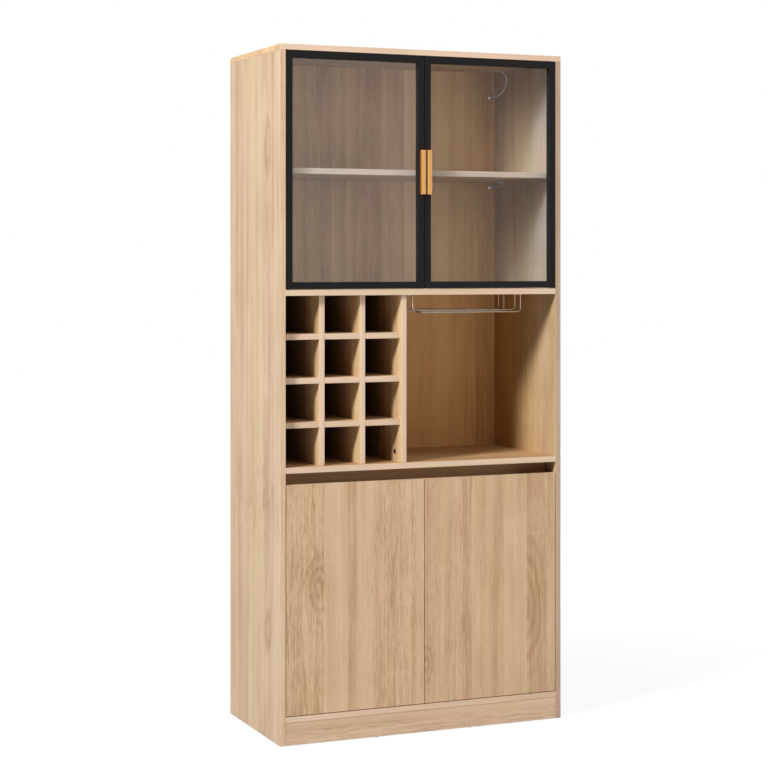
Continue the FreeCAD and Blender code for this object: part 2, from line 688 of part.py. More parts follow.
# Glass doors: four mitred bars round the pane, with a gasket in their groove
PANE_FRONT = behind_front("frame_depth / 2 - glass_thickness / 2")
PANE_REAR = behind_front("frame_depth / 2 + glass_thickness / 2")
BAR_INNER = "(frame_width - glass_groove)"
for side_name, side in SIDES.items():
    door = side_name + "_glass_door"
    far = DOOR_WIDTH
    outline = {
        "hinge_stile": (("0", "0"), ("0", "far"), ("frame_width", "near_top"), ("frame_width", "near_foot")),
        "handle_stile": (("edge", "0"), ("edge", "far"), ("near_edge", "near_top"), ("near_edge", "near_foot")),
        "top_rail": (("0", "far"), ("edge", "far"), ("near_edge", "near_top"), ("frame_width", "near_top")),
        "bottom_rail": (("0", "0"), ("edge", "0"), ("near_edge", "near_foot"), ("frame_width", "near_foot")),
    }
    across = {"0": "0", "edge": far, "near_edge": f"{far} - frame_width", "frame_width": "frame_width"}
    upward = {"0": GLASS_DOOR_LOW, "far": GLASS_DOOR_HIGH, "near_top": f"{GLASS_DOOR_HIGH} - frame_width",
              "near_foot": f"{GLASS_DOOR_LOW} + frame_width"}

    def pane_block(name, inset, front, rear):
        """A box that keeps the same distance from all four outer edges of the door."""
        first = from_hinge_edge(side, inset)
        last = from_hinge_edge(side, f"{far} - ({inset})")
        low_x, high_x = (first, last) if side < 0 else (last, first)
        return block(name, (low_x, front, f"{GLASS_DOOR_LOW} + {inset}"),
                     (high_x, rear, f"{GLASS_DOOR_HIGH} - ({inset})"))

    pocket = pane_block(door + "_pane_pocket", BAR_INNER, f"{PANE_FRONT} - gasket_wall",
                        f"{PANE_REAR} + gasket_wall")
    for bar_name, corners in outline.items():
        bar = f"{door}_{bar_name}"
        blanks[bar] = padded_outline(bar + "_body", FRONT_OFFSET,
                                     [(from_hinge_edge(side, across[a]), upward[b]) for a, b in corners],
                                     "frame_depth")
        drill(bar, pocket)

    pane_inset = f"{BAR_INNER} + groove_play + gasket_wall"
    keep(pane_block(door + "_pane", pane_inset, PANE_FRONT, PANE_REAR), door + "_pane")
    seal_block = pane_block(door + "_seal", f"{BAR_INNER} + groove_play", f"{PANE_FRONT} - gasket_wall",
                            f"{PANE_REAR} + gasket_wall")
    seal_slot = pane_block(door + "_seal_slot", pane_inset, PANE_FRONT, PANE_REAR)
    seal_window = pane_block(door + "_seal_window", "frame_width + gasket_proud",
                             f"{PANE_FRONT} - board", f"{PANE_REAR} + board")
    keep(cut(door + "_gasket_ring", seal_block, [seal_slot, seal_window]), door + "_gasket")
    keep(group(door + "_pins", pivot_pins[side_name]), door + "_pivot_pins")

    # Handle: a square bar screwed flat on the handle stile
    handle_near = from_hinge_edge(side, f"{far} - handle_edge_inset")
    handle_far = from_hinge_edge(side, f"{far} - handle_edge_inset - handle_width")
    handle_middle = f"({GLASS_DOOR_LOW} + {GLASS_DOOR_HIGH}) / 2"
    handle = padded_outline(
        door + "_handle_body", f"{FRONT_OFFSET} + handle_reach",
        [(handle_near, f"{handle_middle} - handle_length / 2"), (handle_far, f"{handle_middle} - handle_length / 2"),
         (handle_far, f"{handle_middle} + handle_length / 2"), (handle_near, f"{handle_middle} + handle_length / 2")],
        "handle_reach")
    doc.recompute()
    front_face = min(handle.Shape.Faces, key=lambda face: face.CenterOfMass.y)
    front_edges = [f"Edge{number}" for number, edge in enumerate(handle.Shape.Edges, start=1)
                   if any(edge.isSame(other) for other in front_face.Edges)]
    handle_pad = handle.Tip
    chamfer = handle.newObject("PartDesign::Chamfer", door + "_handle_chamfer")
    chamfer.Base = (handle_pad, front_edges)
    bind(chamfer, {"Size": "handle_chamfer"})
    handle.Tip = chamfer
    blanks[door + "_handle"] = handle

    screws = []
    for step in (-1, 1):
        name = f"{door}_handle_screw_{'low' if step < 0 else 'high'}"
        screw_x = from_hinge_edge(side, f"{far} - handle_edge_inset - handle_width / 2")
        screw_z = f"{handle_middle} + {step} * handle_screw_spacing / 2"
        head_seat = (screw_x, behind_front("frame_depth"), screw_z)
        screws.append(fuse(name, [
            rod(name + "_head", head_seat, "+y", "handle_screw_head_radius", "handle_screw_head_height"),
            rod(name + "_shank", (screw_x, behind_front("frame_depth + handle_screw_head_height"), screw_z), "-y",
                "handle_screw_radius", "frame_depth + handle_screw_bite + handle_screw_head_height")]))
        bore = rod(name + "_bore", head_seat, "-y", "handle_screw_radius + fit_play",
                   "frame_depth + handle_screw_bite + fit_play")
        drill(door + "_handle_stile", bore)
        drill(door + "_handle", bore)
    keep(group(door + "_screws", screws), door + "_handle_screws")


def path_wire(points, radii):
    """Straight runs through the points, with a tangent arc of the given radius at each inner point."""
    edges = []
    last = points[0]
    for before, corner, after, radius in zip(points, points[1:], points[2:], radii):
        way_in = (corner - before).normalize()
        way_out = (after - corner).normalize()
        half_turn = way_in.getAngle(way_out) / 2
        cut_back = radius * math.tan(half_turn)
        start = corner - way_in * cut_back
        end = corner + way_out * cut_back
        bisector = (way_out - way_in).normalize()
        middle = corner + bisector * (radius / math.cos(half_turn) - radius)
        if (start - last).Length > 1e-6:
            edges.append(Part.LineSegment(last, start).toShape())
        edges.append(Part.Arc(start, middle, end).toShape())
        last = end
    if (points[-1] - last).Length > 1e-6:
        edges.append(Part.LineSegment(last, points[-1]).toShape())
    return Part.Wire(edges)


def round_tube(path, radius):
    """A solid round bar along a path, checked against its section times its length."""
    start = path.Edges[0]
    direction = start.tangentAt(start.FirstParameter)
    profile = Part.Wire(Part.makeCircle(radius, start.valueAt(start.FirstParameter), direction))
    tube = path.makePipeShell([profile], True, False)
    expected = math.pi * radius ** 2 * path.Length
    if abs(tube.Volume - expected) > 0.02 * expected:
        raise ValueError("a tube's volume does not match its section times its length")
    return tube


def largest_radii(points):
    """The largest arc that the two runs at each inner point leave room for."""
    radii = []
    for before, corner, after in zip(points, points[1:], points[2:]):
        runs = (corner - before, after - corner)
        radii.append(0.45 * min(run.Length for run in runs) / math.tan(runs[0].getAngle(runs[1]) / 2))
    return radii


front_y = -(size("depth") - size("handle_reach")) / 2
inner_x = size("width") / 2 - size("board")
back_y = front_y + size("depth") - size("back_recess")
ceiling_z = size("height") - size("board")
display_shelf_z = size("middle_level") + size("board") + size("display_shelf_rise")

# Clear leads from each light strip, round the right-hand corner to the socket. Each point of a route is
# its distance from the side panel, its distance from the back sheet and its height over the socket.
# The first and last points are taken from the strip's end and the socket's face.
LEAD_ROUTES = {
    "top": ((24, 99, 65), (7, 91, 49), (3.5, 79, 27), (5, 57, 8), (6, 32, 0.5), (12, 14, 0)),
    "shelf": ((25, 99, 8.5), (9, 86, 4), (5, 67, 1), (4.5, 44, 0.5), (8, 21, -0.5)),
}
SEAT_LEVELS = {"top": ceiling_z, "shelf": display_shelf_z}
SOCKET_DROPS = {"top": size("top_socket_drop"), "shelf": size("shelf_socket_drop")}
leads = []
for light_name, route in LEAD_ROUTES.items():
    seat = SEAT_LEVELS[light_name]
    socket_z = seat - SOCKET_DROPS[light_name]
    strip_end = Vector(size("light_length") / 2, front_y + size("light_setback") + size("light_width") / 2,
                       seat - size("light_thickness") / 2)
    socket_face = Vector(inner_x - size("socket_inset"), back_y - size("socket_front"), socket_z)
    points = [strip_end]
    points += [Vector(inner_x - aside, back_y - ahead, socket_z + above) for aside, ahead, above in route]
    points.append(socket_face)
    radii = largest_radii(points)
    lead_path = path_wire(points, radii)
    print(light_name, "lead", round(lead_path.Length, 1), "mm long, radii",
          [round(radius, 1) for radius in radii])
    leads.append(round_tube(lead_path, size("lead_radius")))
light_leads = doc.addObject("Part::Feature", "light_leads")
light_leads.Shape = Part.makeCompound(leads)
keep(light_leads, "light_leads")

# Stemware rack: two wire loops under the middle board, each on a plate at its open end and a hanger at
# its closed end, with the rear wire of a loop a little above the front one
ceiling_of_bay = size("middle_level")
divider_face_x = RACK_COLUMNS * (size("rack_cell") + size("board")) - inner_x
loop_right = inner_x - size("stem_loop_right_inset")
loop_left = divider_face_x + size("stem_loop_left_inset")
loop_width = size("stem_loop_width")
plate_low = ceiling_of_bay - size("stem_plate_thickness")
wire = size("wire_radius")
stem_screws = []


def stem_screw(x, y):
    """A screw through a plate of the stemware rack, up into the middle board."""
    head_height = size("stem_screw_head_height")
    foot = Vector(x, y, plate_low - head_height)
    shank_length = head_height + size("stem_screw_length")
    head = Part.makeCylinder(size("stem_screw_head_radius"), head_height, foot)
    shank = Part.makeCylinder(size("stem_screw_radius"), shank_length, foot)
    bore = Part.makeCylinder(size("stem_screw_radius") + size("fit_play"), shank_length + size("fit_play"), foot)
    stem_screws.append(head.fuse(shank).removeSplitter())
    return bore


stem_bores = []
for loop_number, loop_name in enumerate(("front_stem_loop", "rear_stem_loop")):
    first_y = front_y + size("stem_rack_front") + loop_number * size("stem_loop_pitch")
    second_y = first_y + loop_width
    first_z = ceiling_of_bay - size("stem_loop_drop")
    second_z = first_z + size("stem_loop_rise")
    reach = (Vector(0, second_y, second_z) - Vector(0, first_y, first_z)).Length / 2
    apex = Vector(loop_left, (first_y + second_y) / 2, (first_z + second_z) / 2)
    turn_x = loop_left + reach
    bend = size("stem_bend_radius")
    legs = []
    for leg_y, leg_z in ((first_y, first_z), (second_y, second_z)):
        corner = Vector(loop_right, leg_y, leg_z)
        legs.append(path_wire([Vector(loop_right, leg_y, plate_low + wire / 2), corner,
                               Vector(turn_x, leg_y, leg_z)], [bend]))
    closed_end = Part.Arc(Vector(turn_x, first_y, first_z), apex, Vector(turn_x, second_y, second_z)).toShape()
    edges = list(legs[0].Edges) + [closed_end] + list(legs[1].Edges)
    loop = round_tube(Part.Wire(Part.__sortEdges__(edges)), wire)

    # The hanger's foot lies on top of the closed end, where it is welded
    hanger_x = loop_left - size("stem_hanger_radius")
    foot_z = apex.z + 2 * wire - size("stem_weld_bite")
    hanger = round_tube(path_wire([Vector(hanger_x, apex.y, plate_low + wire / 2),
                                   Vector(hanger_x, apex.y, foot_z),
                                   Vector(loop_left + wire, apex.y, foot_z)],
                                  [size("stem_hanger_radius")]), wire)

    plate_width = size("stem_plate_width")
    margin = size("stem_plate_margin")
    plates = [Part.makeBox(plate_width, loop_width + 2 * margin, size("stem_plate_thickness"),
                           Vector(loop_right - plate_width / 2, first_y - margin, plate_low)),
              Part.makeBox(2 * margin + wire, plate_width, size("stem_plate_thickness"),
                           Vector(hanger_x - 2 * margin, apex.y - plate_width / 2, plate_low))]
    bores = [stem_screw(loop_right, (first_y + second_y) / 2), stem_screw(hanger_x - margin, apex.y)]
    stem_bores += bores
    welded = loop.fuse([hanger] + plates).removeSplitter()
    if len(welded.Solids) != 1 or welded.Volume < loop.Volume + hanger.Volume:
        raise ValueError(loop_name + " has lost one of its pieces")
    for bore in bores:
        welded = welded.cut(bore)
    loop_object = doc.addObject("Part::Feature", loop_name)
    loop_object.Shape = welded.Solids[0]
    keep(loop_object, loop_name)

stem_screw_object = doc.addObject("Part::Feature", "stem_rack_screws")
stem_screw_object.Shape = Part.makeCompound(stem_screws)
keep(stem_screw_object, "stem_rack_screws")
stem_bore_object = doc.addObject("Part::Feature", "stem_rack_bores")
stem_bore_object.Shape = Part.makeCompound(stem_bores)
drill("middle_panel", stem_bore_object)


def thick_line(points, half):
    """The outline of a bent strip of even thickness round a line of points."""
    normals = []
    for start, end in zip(points, points[1:]):
        way = (end - start).normalize()
        normals.append(Vector(-way.y, way.x, 0))
    shifts = [normals[0]]
    for first, second in zip(normals, normals[1:]):
        shifts.append((first + second) / (1 + first.dot(second)))
    shifts.append(normals[-1])
    near = [point + shift * half for point, shift in zip(points, shifts)]
    far = [point - shift * half for point, shift in zip(points, shifts)]
    return near + far[::-1]


# Hinge arms: bent strips from the pin, clear of the door's swinging edge, back to the plate
plate_line = size("hinge_edge") + size("door_gap") - size("hinge_plate_thickness") - size("arm_thickness") / 2
arm_line = [
    (0, 0),
    (size("arm_reach"), size("arm_reach") - 1),
    (size("arm_reach"), size("arm_clear") * 0.8),
    (size("arm_reach") / 2, size("arm_clear")),
    (-plate_line, size("arm_clear")),
    (-plate_line, size("hinge_plate_start") + size("hinge_plate_length") - size("arm_thickness")),
]
arms = []
lower_low = size("plinth_height") + size("board") + size("door_gap") + size("hinge_end_inset")
lower_high = size("bay_floor_level") - size("grip_height") - size("hinge_end_inset")
for side in SIDES.values():
    for level in (lower_low, lower_high):
        pin_x = side * (inner_x - size("door_gap") - size("hinge_edge"))
        pin = Vector(pin_x, front_y + size("hinge_front"), level - size("arm_width") / 2)
        line = [pin + Vector(-side * across, back, 0) for across, back in arm_line]
        outline = thick_line(line, size("arm_thickness") / 2)
        strip = Part.Face(Part.makePolygon(outline + outline[:1])).extrude(Vector(0, 0, size("arm_width")))
        eye = Part.makeCylinder(size("arm_eye_radius"), size("arm_width"), pin)
        bore = Part.makeCylinder(size("hinge_pin_radius") + size("fit_play"), size("arm_width"), pin)
        arms.append(strip.fuse(eye).cut(bore).removeSplitter())
hinge_arms = doc.addObject("Part::Feature", "hinge_arms")
hinge_arms.Shape = Part.makeCompound([solid for arm in arms for solid in arm.Solids])
keep(hinge_arms, "hinge_arms")

# Floor glides under the side panels and the plinth
glides = []
for side_name, side in SIDES.items():
    for row_name, row_depth in (("front", "glide_inset"), ("rear", "depth - glide_inset")):
        glides.append(rod(f"glide_{side_name}_{row_name}", (f"{side} * (width / 2 - board / 2)",
                                                            behind_front(row_depth), "0"),
                          "+z", "glide_radius", "glide_thickness"))
    glides.append(rod(f"glide_{side_name}_plinth", (f"{side} * width / 6",
                                                    behind_front("plinth_setback + board / 2"), "0"),
                      "+z", "glide_radius", "glide_thickness"))

# Every board and bar with its holes
for label, blank in blanks.items():
    keep(cut(label + "_drilled", blank, holes[label]) if label in holes else blank, label)

keep(cut("cams_bored", group("cam_blanks", cam_bodies), cam_channels), "cam_locks")
keep(group("cam_bolt_group", cam_bolts), "cam_bolts")
keep(group("dowel_group", dowels), "dowels")
keep(group("back_screw_group", back_screws), "back_sheet_screws")
keep(group("shelf_pin_group", shelf_pins), "shelf_pins")
keep(group("bush_group", pivot_bushes), "pivot_bushes")
keep(group("catch_group", catches), "door_catches")
keep(group("socket_group", sockets), "light_sockets")
keep(group("plate_group", hinge_plates), "hinge_plates")
keep(group("plate_screw_group", plate_screws), "hinge_plate_screws")
keep(group("hinge_pin_group", hinge_pins), "hinge_pins")
keep(group("glide_group", glides), "floor_glides")

doc.recompute()

# Check the whole document, then write one file for each sub-part
for item in doc.Objects:
    if "Invalid" in item.State or "Error" in item.State:
        raise RuntimeError(item.Name + " failed to build")
labels = [target.Label for target in nodes]
if len(set(labels)) != len(labels):
    raise RuntimeError("two sub-parts share a name")
os.makedirs("parts", exist_ok=True)
for target in nodes:
    shape = target.Shape
    if shape.isNull() or not shape.isValid() or not shape.Solids:
        raise RuntimeError(target.Label + " has no valid solid")
    shape.exportStep(os.path.join("parts", target.Label + ".step"))
print(len(nodes), "sub-parts,", sum(len(target.Shape.Solids) for target in nodes), "solids")
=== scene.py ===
import bmesh
import bpy
import math
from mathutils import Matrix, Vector


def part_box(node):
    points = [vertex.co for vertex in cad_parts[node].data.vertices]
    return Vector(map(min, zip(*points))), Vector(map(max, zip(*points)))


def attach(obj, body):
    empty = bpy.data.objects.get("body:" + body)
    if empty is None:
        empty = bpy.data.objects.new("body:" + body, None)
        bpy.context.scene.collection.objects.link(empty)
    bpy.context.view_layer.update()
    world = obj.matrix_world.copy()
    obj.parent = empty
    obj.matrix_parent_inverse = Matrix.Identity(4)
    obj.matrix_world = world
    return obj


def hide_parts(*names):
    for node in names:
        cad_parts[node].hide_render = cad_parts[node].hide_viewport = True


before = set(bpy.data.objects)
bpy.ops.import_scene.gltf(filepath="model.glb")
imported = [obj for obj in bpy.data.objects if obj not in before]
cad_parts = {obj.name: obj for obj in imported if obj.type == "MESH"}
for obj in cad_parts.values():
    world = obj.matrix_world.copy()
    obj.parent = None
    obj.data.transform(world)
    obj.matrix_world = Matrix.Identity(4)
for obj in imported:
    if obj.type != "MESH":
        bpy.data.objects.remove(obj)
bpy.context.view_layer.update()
MM = 0.001

# Camera: level, at chest height, to the left of the cabinet, as the photograph was taken. The frame
# is shifted down instead of tilted, so that upright edges stay upright.
IMAGE_PIXELS = 768
FOCAL_PIXELS = 1944.9
HORIZON_PIXEL = 261.46
CAMERA_PLACE = (-2.1079, -4.8688, 1.2422)
CAMERA_TURN = math.radians(-23.063)
FILM_WIDTH = 36.0

lens = bpy.data.cameras.new("camera")
lens.sensor_width = FILM_WIDTH
lens.lens = FILM_WIDTH * FOCAL_PIXELS / IMAGE_PIXELS
lens.shift_y = (HORIZON_PIXEL - IMAGE_PIXELS / 2) / IMAGE_PIXELS
camera = bpy.data.objects.new("camera", lens)
camera.location = CAMERA_PLACE
camera.rotation_euler = (math.pi / 2, 0, CAMERA_TURN)
bpy.context.scene.collection.objects.link(camera)
bpy.context.scene.camera = camera
bpy.context.scene.view_settings.view_transform = "Standard"

# Studio: a softbox high on the left draws the slanted shadows in the bays, wide panels overhead, at the
# right and behind light the rest, and the floor and surround are white. Two small shaded lamps brighten
# the right wall behind the panes, and one in front gives the light sockets and their leads a glint.
SOFTBOXES = {
    # Each has its place, the point it faces, its edge length and its power in watts
    "key": ((-6.07, -2.89, 5.08), (0, -0.1, 1.0), 1.4, 765),
    "overhead": ((-0.4, -1.7, 3.4), (0, -0.1, 1.0), 1.8, 12),
    "right": ((3.5, -1.9, 1.5), (0, 0, 0.9), 1.8, 60),
    "back": ((0.8, 3.4, 2.2), (0, 0, 0.9), 1.8, 60),
    "upper_glow": ((-0.3, -0.13, 1.5), (0.39, 0.0, 1.5), 0.05, 0.13),
    "lower_glow": ((-0.3, -0.13, 1.19), (0.39, 0.0, 1.19), 0.05, 0.05),
    "sparkle": ((-0.9, -4.5, 1.5), (0.38, 0.18, 1.6), 2.0, 130),
}
GLOWS = ("upper_glow", "lower_glow")
GLOW_SPREAD = math.radians(34)
GLOW_COLOR = (1.0, 0.93, 0.78)
FILL_STRENGTH = 0.065
CARD_CORNERS = ((1.82, -4.2, 1.05), (2.55, -4.2, 1.05), (2.55, -4.2, 2.3), (1.82, -4.2, 2.3))
CARD_GREY = (0.37, 0.37, 0.37, 1)
FLOOR_SPAN = 30
FLOOR_WHITE = (0.6, 0.6, 0.6, 1)
FLOOR_GLOW_SHARE = 0.8
FLOOR_GLOW = (1.1, 1.25)
FLOOR_LIT_RADIUS = (0.9, 2.4)


def fill(tree, node, values):
    """Set a node's inputs. A socket among the values is linked."""
    for key, value in values.items():
        if isinstance(value, bpy.types.NodeSocket):
            tree.links.new(value, node.inputs[key])
        else:
            node.inputs[key].default_value = value


def step(tree, kind, values=None, **settings):
    """Add a node to a tree, with its settings and the values of its inputs."""
    node = tree.nodes.new(kind)
    for name, value in settings.items():
        setattr(node, name, value)
    fill(tree, node, values or {})
    return node


def maths(tree, operation, first, second=0.0, third=0.0, clamp=False):
    return step(tree, "ShaderNodeMath", {0: first, 1: second, 2: third},
                operation=operation, use_clamp=clamp).outputs[0]


def times(tree, first, second):
    return maths(tree, "MULTIPLY", first, second)


def vectors(tree, operation, first, second=(0, 0, 0)):
    results = step(tree, "ShaderNodeVectorMath", {0: first, 1: second}, operation=operation).outputs
    return results["Value" if operation == "LENGTH" else "Vector"]


def ramp(tree, value, low, high, new_low=0.0, new_high=1.0):
    values = {"Value": value, "From Min": low, "From Max": high, "To Min": new_low, "To Max": new_high}
    return step(tree, "ShaderNodeMapRange", values).outputs["Result"]


def object_place(tree):
    return step(tree, "ShaderNodeTexCoord").outputs["Object"]


def split(tree, vector):
    return step(tree, "ShaderNodeSeparateXYZ", {0: vector}).outputs


def seen(tree):
    """1 for rays that come from the camera straight, off a mirror or through glass, and 0 for others."""
    kinds = step(tree, "ShaderNodeLightPath").outputs
    straight = maths(tree, "ADD", kinds["Is Camera Ray"], kinds["Is Glossy Ray"], clamp=True)
    return maths(tree, "ADD", straight, kinds["Is Transmission Ray"], clamp=True)


def add_object(name, data):
    thing = bpy.data.objects.new(name, data)
    bpy.context.scene.collection.objects.link(thing)
    return thing


for name, (place, aim, edge, power) in SOFTBOXES.items():
    softbox = bpy.data.lights.new(name, "AREA")
    softbox.shape = "SQUARE"
    softbox.size = edge
    softbox.energy = power
    lamp = add_object(name, softbox)
    lamp.location = place
    lamp.rotation_euler = (Vector(aim) - Vector(place)).to_track_quat("-Z", "Y").to_euler()
    if name in GLOWS:
        softbox.spread, softbox.color = GLOW_SPREAD, GLOW_COLOR
        lamp.visible_camera = lamp.visible_glossy = lamp.visible_transmission = False

# The sparkle falls on the light sockets and their leads alone, and the glows on the right wall and the back
sparkle_targets = bpy.data.collections.new("sparkle_targets")
bpy.data.objects["sparkle"].light_linking.receiver_collection = sparkle_targets
glow_targets = bpy.data.collections.new("glow_targets")
for name in GLOWS:
    bpy.data.objects[name].light_linking.receiver_collection = glow_targets

world = bpy.data.worlds.new("surround")
bpy.context.scene.world = world
world.use_nodes = True
surround = world.node_tree
surround.nodes.clear()
strength = step(surround, "ShaderNodeMix", {"Factor": seen(surround), "A": FILL_STRENGTH, "B": 1.0})
backdrop = step(surround, "ShaderNodeBackground", {"Color": (1, 1, 1, 1), "Strength": strength.outputs[0]})
step(surround, "ShaderNodeOutputWorld", {"Surface": backdrop.outputs[0]})


def new_material(name, values=None):
    """A material, its tree and its Principled shader with the given values."""
    material = bpy.data.materials.new(name)
    material.use_nodes = True
    tree = material.node_tree
    tree.nodes.clear()
    shader = step(tree, "ShaderNodeBsdfPrincipled", values)
    step(tree, "ShaderNodeOutputMaterial", {"Surface": shader.outputs[0]})
    return material, tree, shader


def mix_in(tree, factor, shader, other):
    """Let a second shader take over from the first by a factor."""
    mixed = step(tree, "ShaderNodeMixShader", {0: factor, 1: shader.outputs[0], 2: other.outputs[0]})
    output = next(node for node in tree.nodes if node.bl_idname == "ShaderNodeOutputMaterial")
    tree.links.new(mixed.outputs[0], output.inputs["Surface"])


def flat_object(name, corners, material):
    mesh = bpy.data.meshes.new(name)
    mesh.from_pydata(corners, [], [(0, 1, 2, 3)])
    mesh.materials.append(material)
    return add_object(name, mesh)


floor_material, tree, shader = new_material("white_floor", {"Base Color": FLOOR_WHITE, "Roughness": 0.9})
reach = ramp(tree, vectors(tree, "LENGTH", object_place(tree)), *FLOOR_LIT_RADIUS, *FLOOR_GLOW)
glow = step(tree, "ShaderNodeEmission", {"Color": (1, 1, 1, 1), "Strength": reach})
mix_in(tree, times(tree, seen(tree), FLOOR_GLOW_SHARE), shader, glow)
half = FLOOR_SPAN / 2
floor_corners = ((-half, -half, 0), (half, -half, 0), (half, half, 0), (-half, half, 0))
flat_object("floor", floor_corners, floor_material)

# A grey card at the front right keeps the white room out of the right-hand pane
card_values = {"Base Color": (0, 0, 0, 1), "Emission Color": CARD_GREY, "Emission Strength": 1.0}
card = flat_object("grey_card", CARD_CORNERS, new_material("grey_card", card_values)[0])
for ray_kind in ("camera", "diffuse", "shadow"):
    setattr(card, "visible_" + ray_kind, False)

# Oak print: the boards are chipboard faced with melamine film, printed as sawn oak. Straight staves lie
# side by side, each with its own tone and streaks, and here and there a curl, growth rings or saw marks.
OAK_LIGHT = (0.74, 0.53, 0.36, 1)
OAK_MIDDLE = (0.625, 0.42, 0.268, 1)
OAK_DARK = (0.44, 0.265, 0.15, 1)
STAVE_WIDTH, LAST_STAVE_WIDTH = 0.075, 0.2
SAW_PITCH = 4.6 * MM
BOARD_EASING = 0.6 * MM
BOARD_GLOSS = 0.15
# Painted shade: over these depths, and below these heights, a board's colour darkens towards its back
PAINTED_BACK_SHADE_DEPTHS, PAINTED_BACK_SHADE_HEIGHTS = (-0.13, 0.1), (1.17, 1.15)


def group_tree(name, kind, inputs, outputs):
    """A node group with typed sockets, and its input and output nodes."""
    tree = bpy.data.node_groups.new(name, kind)
    for label, socket in inputs.items():
        tree.interface.new_socket(label, in_out="INPUT", socket_type="NodeSocket" + socket)
    for label, socket in outputs.items():
        tree.interface.new_socket(label, in_out="OUTPUT", socket_type="NodeSocket" + socket)
    return tree, step(tree, "NodeGroupInput"), step(tree, "NodeGroupOutput")


def scaled(tree, vector, factors):
    return vectors(tree, "MULTIPLY", vector, factors)


def noise(tree, vector, scale, detail=2.0, roughness=0.5):
    values = {"Vector": vector, "Scale": scale, "Detail": detail, "Roughness": roughness}
    return step(tree, "ShaderNodeTexNoise", values).outputs["Fac"]


def blend(tree, factor, first, second, how="MIX"):
    return step(tree, "ShaderNodeMix", {"Factor": factor, 6: first, 7: second},
                data_type="RGBA", blend_type=how).outputs[2]


def bump(tree, strength, distance, height):
    values = {"Strength": strength, "Distance": distance, "Height": height}
    return step(tree, "ShaderNodeBump", values).outputs[0]


def figure(tree, vector, stretch, scale, detail, roughness=0.5, low=0.3):
    """Noise drawn out along the grain, from -0.5 to 0.5."""
    drawn = noise(tree, scaled(tree, vector, (1, 1, stretch)), scale, detail, roughness)
    return ramp(tree, drawn, low, 1 - low, -0.5, 0.5)


def build_oak_print():
    """The oak print as a group. Its vector holds metres across the grain, into the board and along it."""
    tree, given, result = group_tree(
        "oak_print", "ShaderNodeTree",
        {"Vector": "Vector", "Slide": "Vector", "Tone": "Float", "Streak": "Float", "Lean": "Float",
         "Curl": "Float", "Rings": "Float", "Saw": "Float"}, {"Color": "Color", "Height": "Float"})
    here = given.outputs["Vector"]
    slid = vectors(tree, "ADD", here, given.outputs["Slide"])

    # The lines of the figure sway a little, and wind where there is a curl
    sway = noise(tree, scaled(tree, slid, (1, 1, 0.16)), 30, 2.0)
    bend = noise(tree, scaled(tree, slid, (1, 1, 0.55)), 38, 1.5)
    curl = given.outputs["Curl"]
    push = maths(tree, "MULTIPLY_ADD", maths(tree, "SUBTRACT", sway, 0.5), 0.011,
                 times(tree, maths(tree, "SUBTRACT", bend, 0.5), times(tree, curl, 0.075)))
    wound = vectors(tree, "ADD", slid, step(tree, "ShaderNodeCombineXYZ", {0: push}).outputs[0])

    # Soft bands, threads, short dashes, patches and pores
    bands = figure(tree, wound, 0.03, 42, 1.0)
    threads = figure(tree, wound, 0.018, 240, 2.5, 0.65)
    dashes = figure(tree, wound, 0.1, 300, 2.5, 0.65, 0.34)
    patches = figure(tree, slid, 0.35, 16, 1.0)
    pores = ramp(tree, noise(tree, scaled(tree, wound, (1, 1, 0.05)), 620, 2.0, 0.7), 0.58, 0.74)

    # Saw marks: pale lines across the grain, uneven in strength
    stroke = maths(tree, "SINE", times(tree, split(tree, here)[2], math.tau / SAW_PITCH))
    uneven = noise(tree, scaled(tree, slid, (0.3, 0.3, 1)), 120, 2.0, 0.7)
    saw = times(tree, ramp(tree, stroke, 0.1, 1.0),
                times(tree, given.outputs["Saw"], ramp(tree, uneven, 0.3, 0.5)))

    streak = given.outputs["Streak"]
    threads = times(tree, threads, ramp(tree, streak, 0, 1, 0.16, 0.5))
    dashes = times(tree, dashes, streak)
    level = maths(tree, "ADD", maths(tree, "MULTIPLY_ADD", bands, 0.30, 0.5), given.outputs["Tone"])
    for line, weight in ((patches, 0.18), (threads, 1.0), (dashes, 0.5), (curl, -0.12),
                         (given.outputs["Rings"], -0.24), (saw, 0.42), (pores, -0.20)):
        level = maths(tree, "MULTIPLY_ADD", line, weight, level)
    color = step(tree, "ShaderNodeValToRGB", {0: level})
    stops = color.color_ramp.elements
    stops[0].position, stops[0].color = 0.0, OAK_DARK
    stops[1].position, stops[1].color = 1.0, OAK_LIGHT
    middle = stops.new(0.5)
    middle.color = OAK_MIDDLE

    # A stave leans to pink or to straw
    lean = maths(tree, "ADD", given.outputs["Lean"],
                 ramp(tree, noise(tree, scaled(tree, slid, (1, 1, 0.2)), 22, 1.5), 0.3, 0.7, -0.6, 0.6))
    pink = blend(tree, ramp(tree, lean, 0, 1), color.outputs[0], (1.0, 0.93, 0.95, 1), "MULTIPLY")
    straw = blend(tree, ramp(tree, lean, 0, -1), pink, (0.96, 1.0, 0.88, 1), "MULTIPLY")
    tree.links.new(straw, result.inputs["Color"])
    height = maths(tree, "MULTIPLY_ADD", pores, -1.0, times(tree, saw, 0.5))
    tree.links.new(height, result.inputs["Height"])
    return tree


oak_print = build_oak_print()
AXES = {"x": 0, "y": 1, "z": 2}


def spot(tree, place, centre, radii, soft, square=False):
    """A mask that is 1 within an ellipse or a rectangle on the board and fades out at its edge."""
    offset = vectors(tree, "SUBTRACT", place, (centre[0], 0, centre[1]))
    share = scaled(tree, offset, (1 / radii[0], 0, 1 / radii[1]))
    if square:
        parts = split(tree, vectors(tree, "ABSOLUTE", share))
        reach = maths(tree, "MAXIMUM", parts[0], parts[2])
    else:
        reach = vectors(tree, "LENGTH", share)
    return ramp(tree, reach, 1, 1 - soft), reach


def total(tree, values):
    result = 0.0
    for value in values:
        result = maths(tree, "ADD", result, value)
    return result


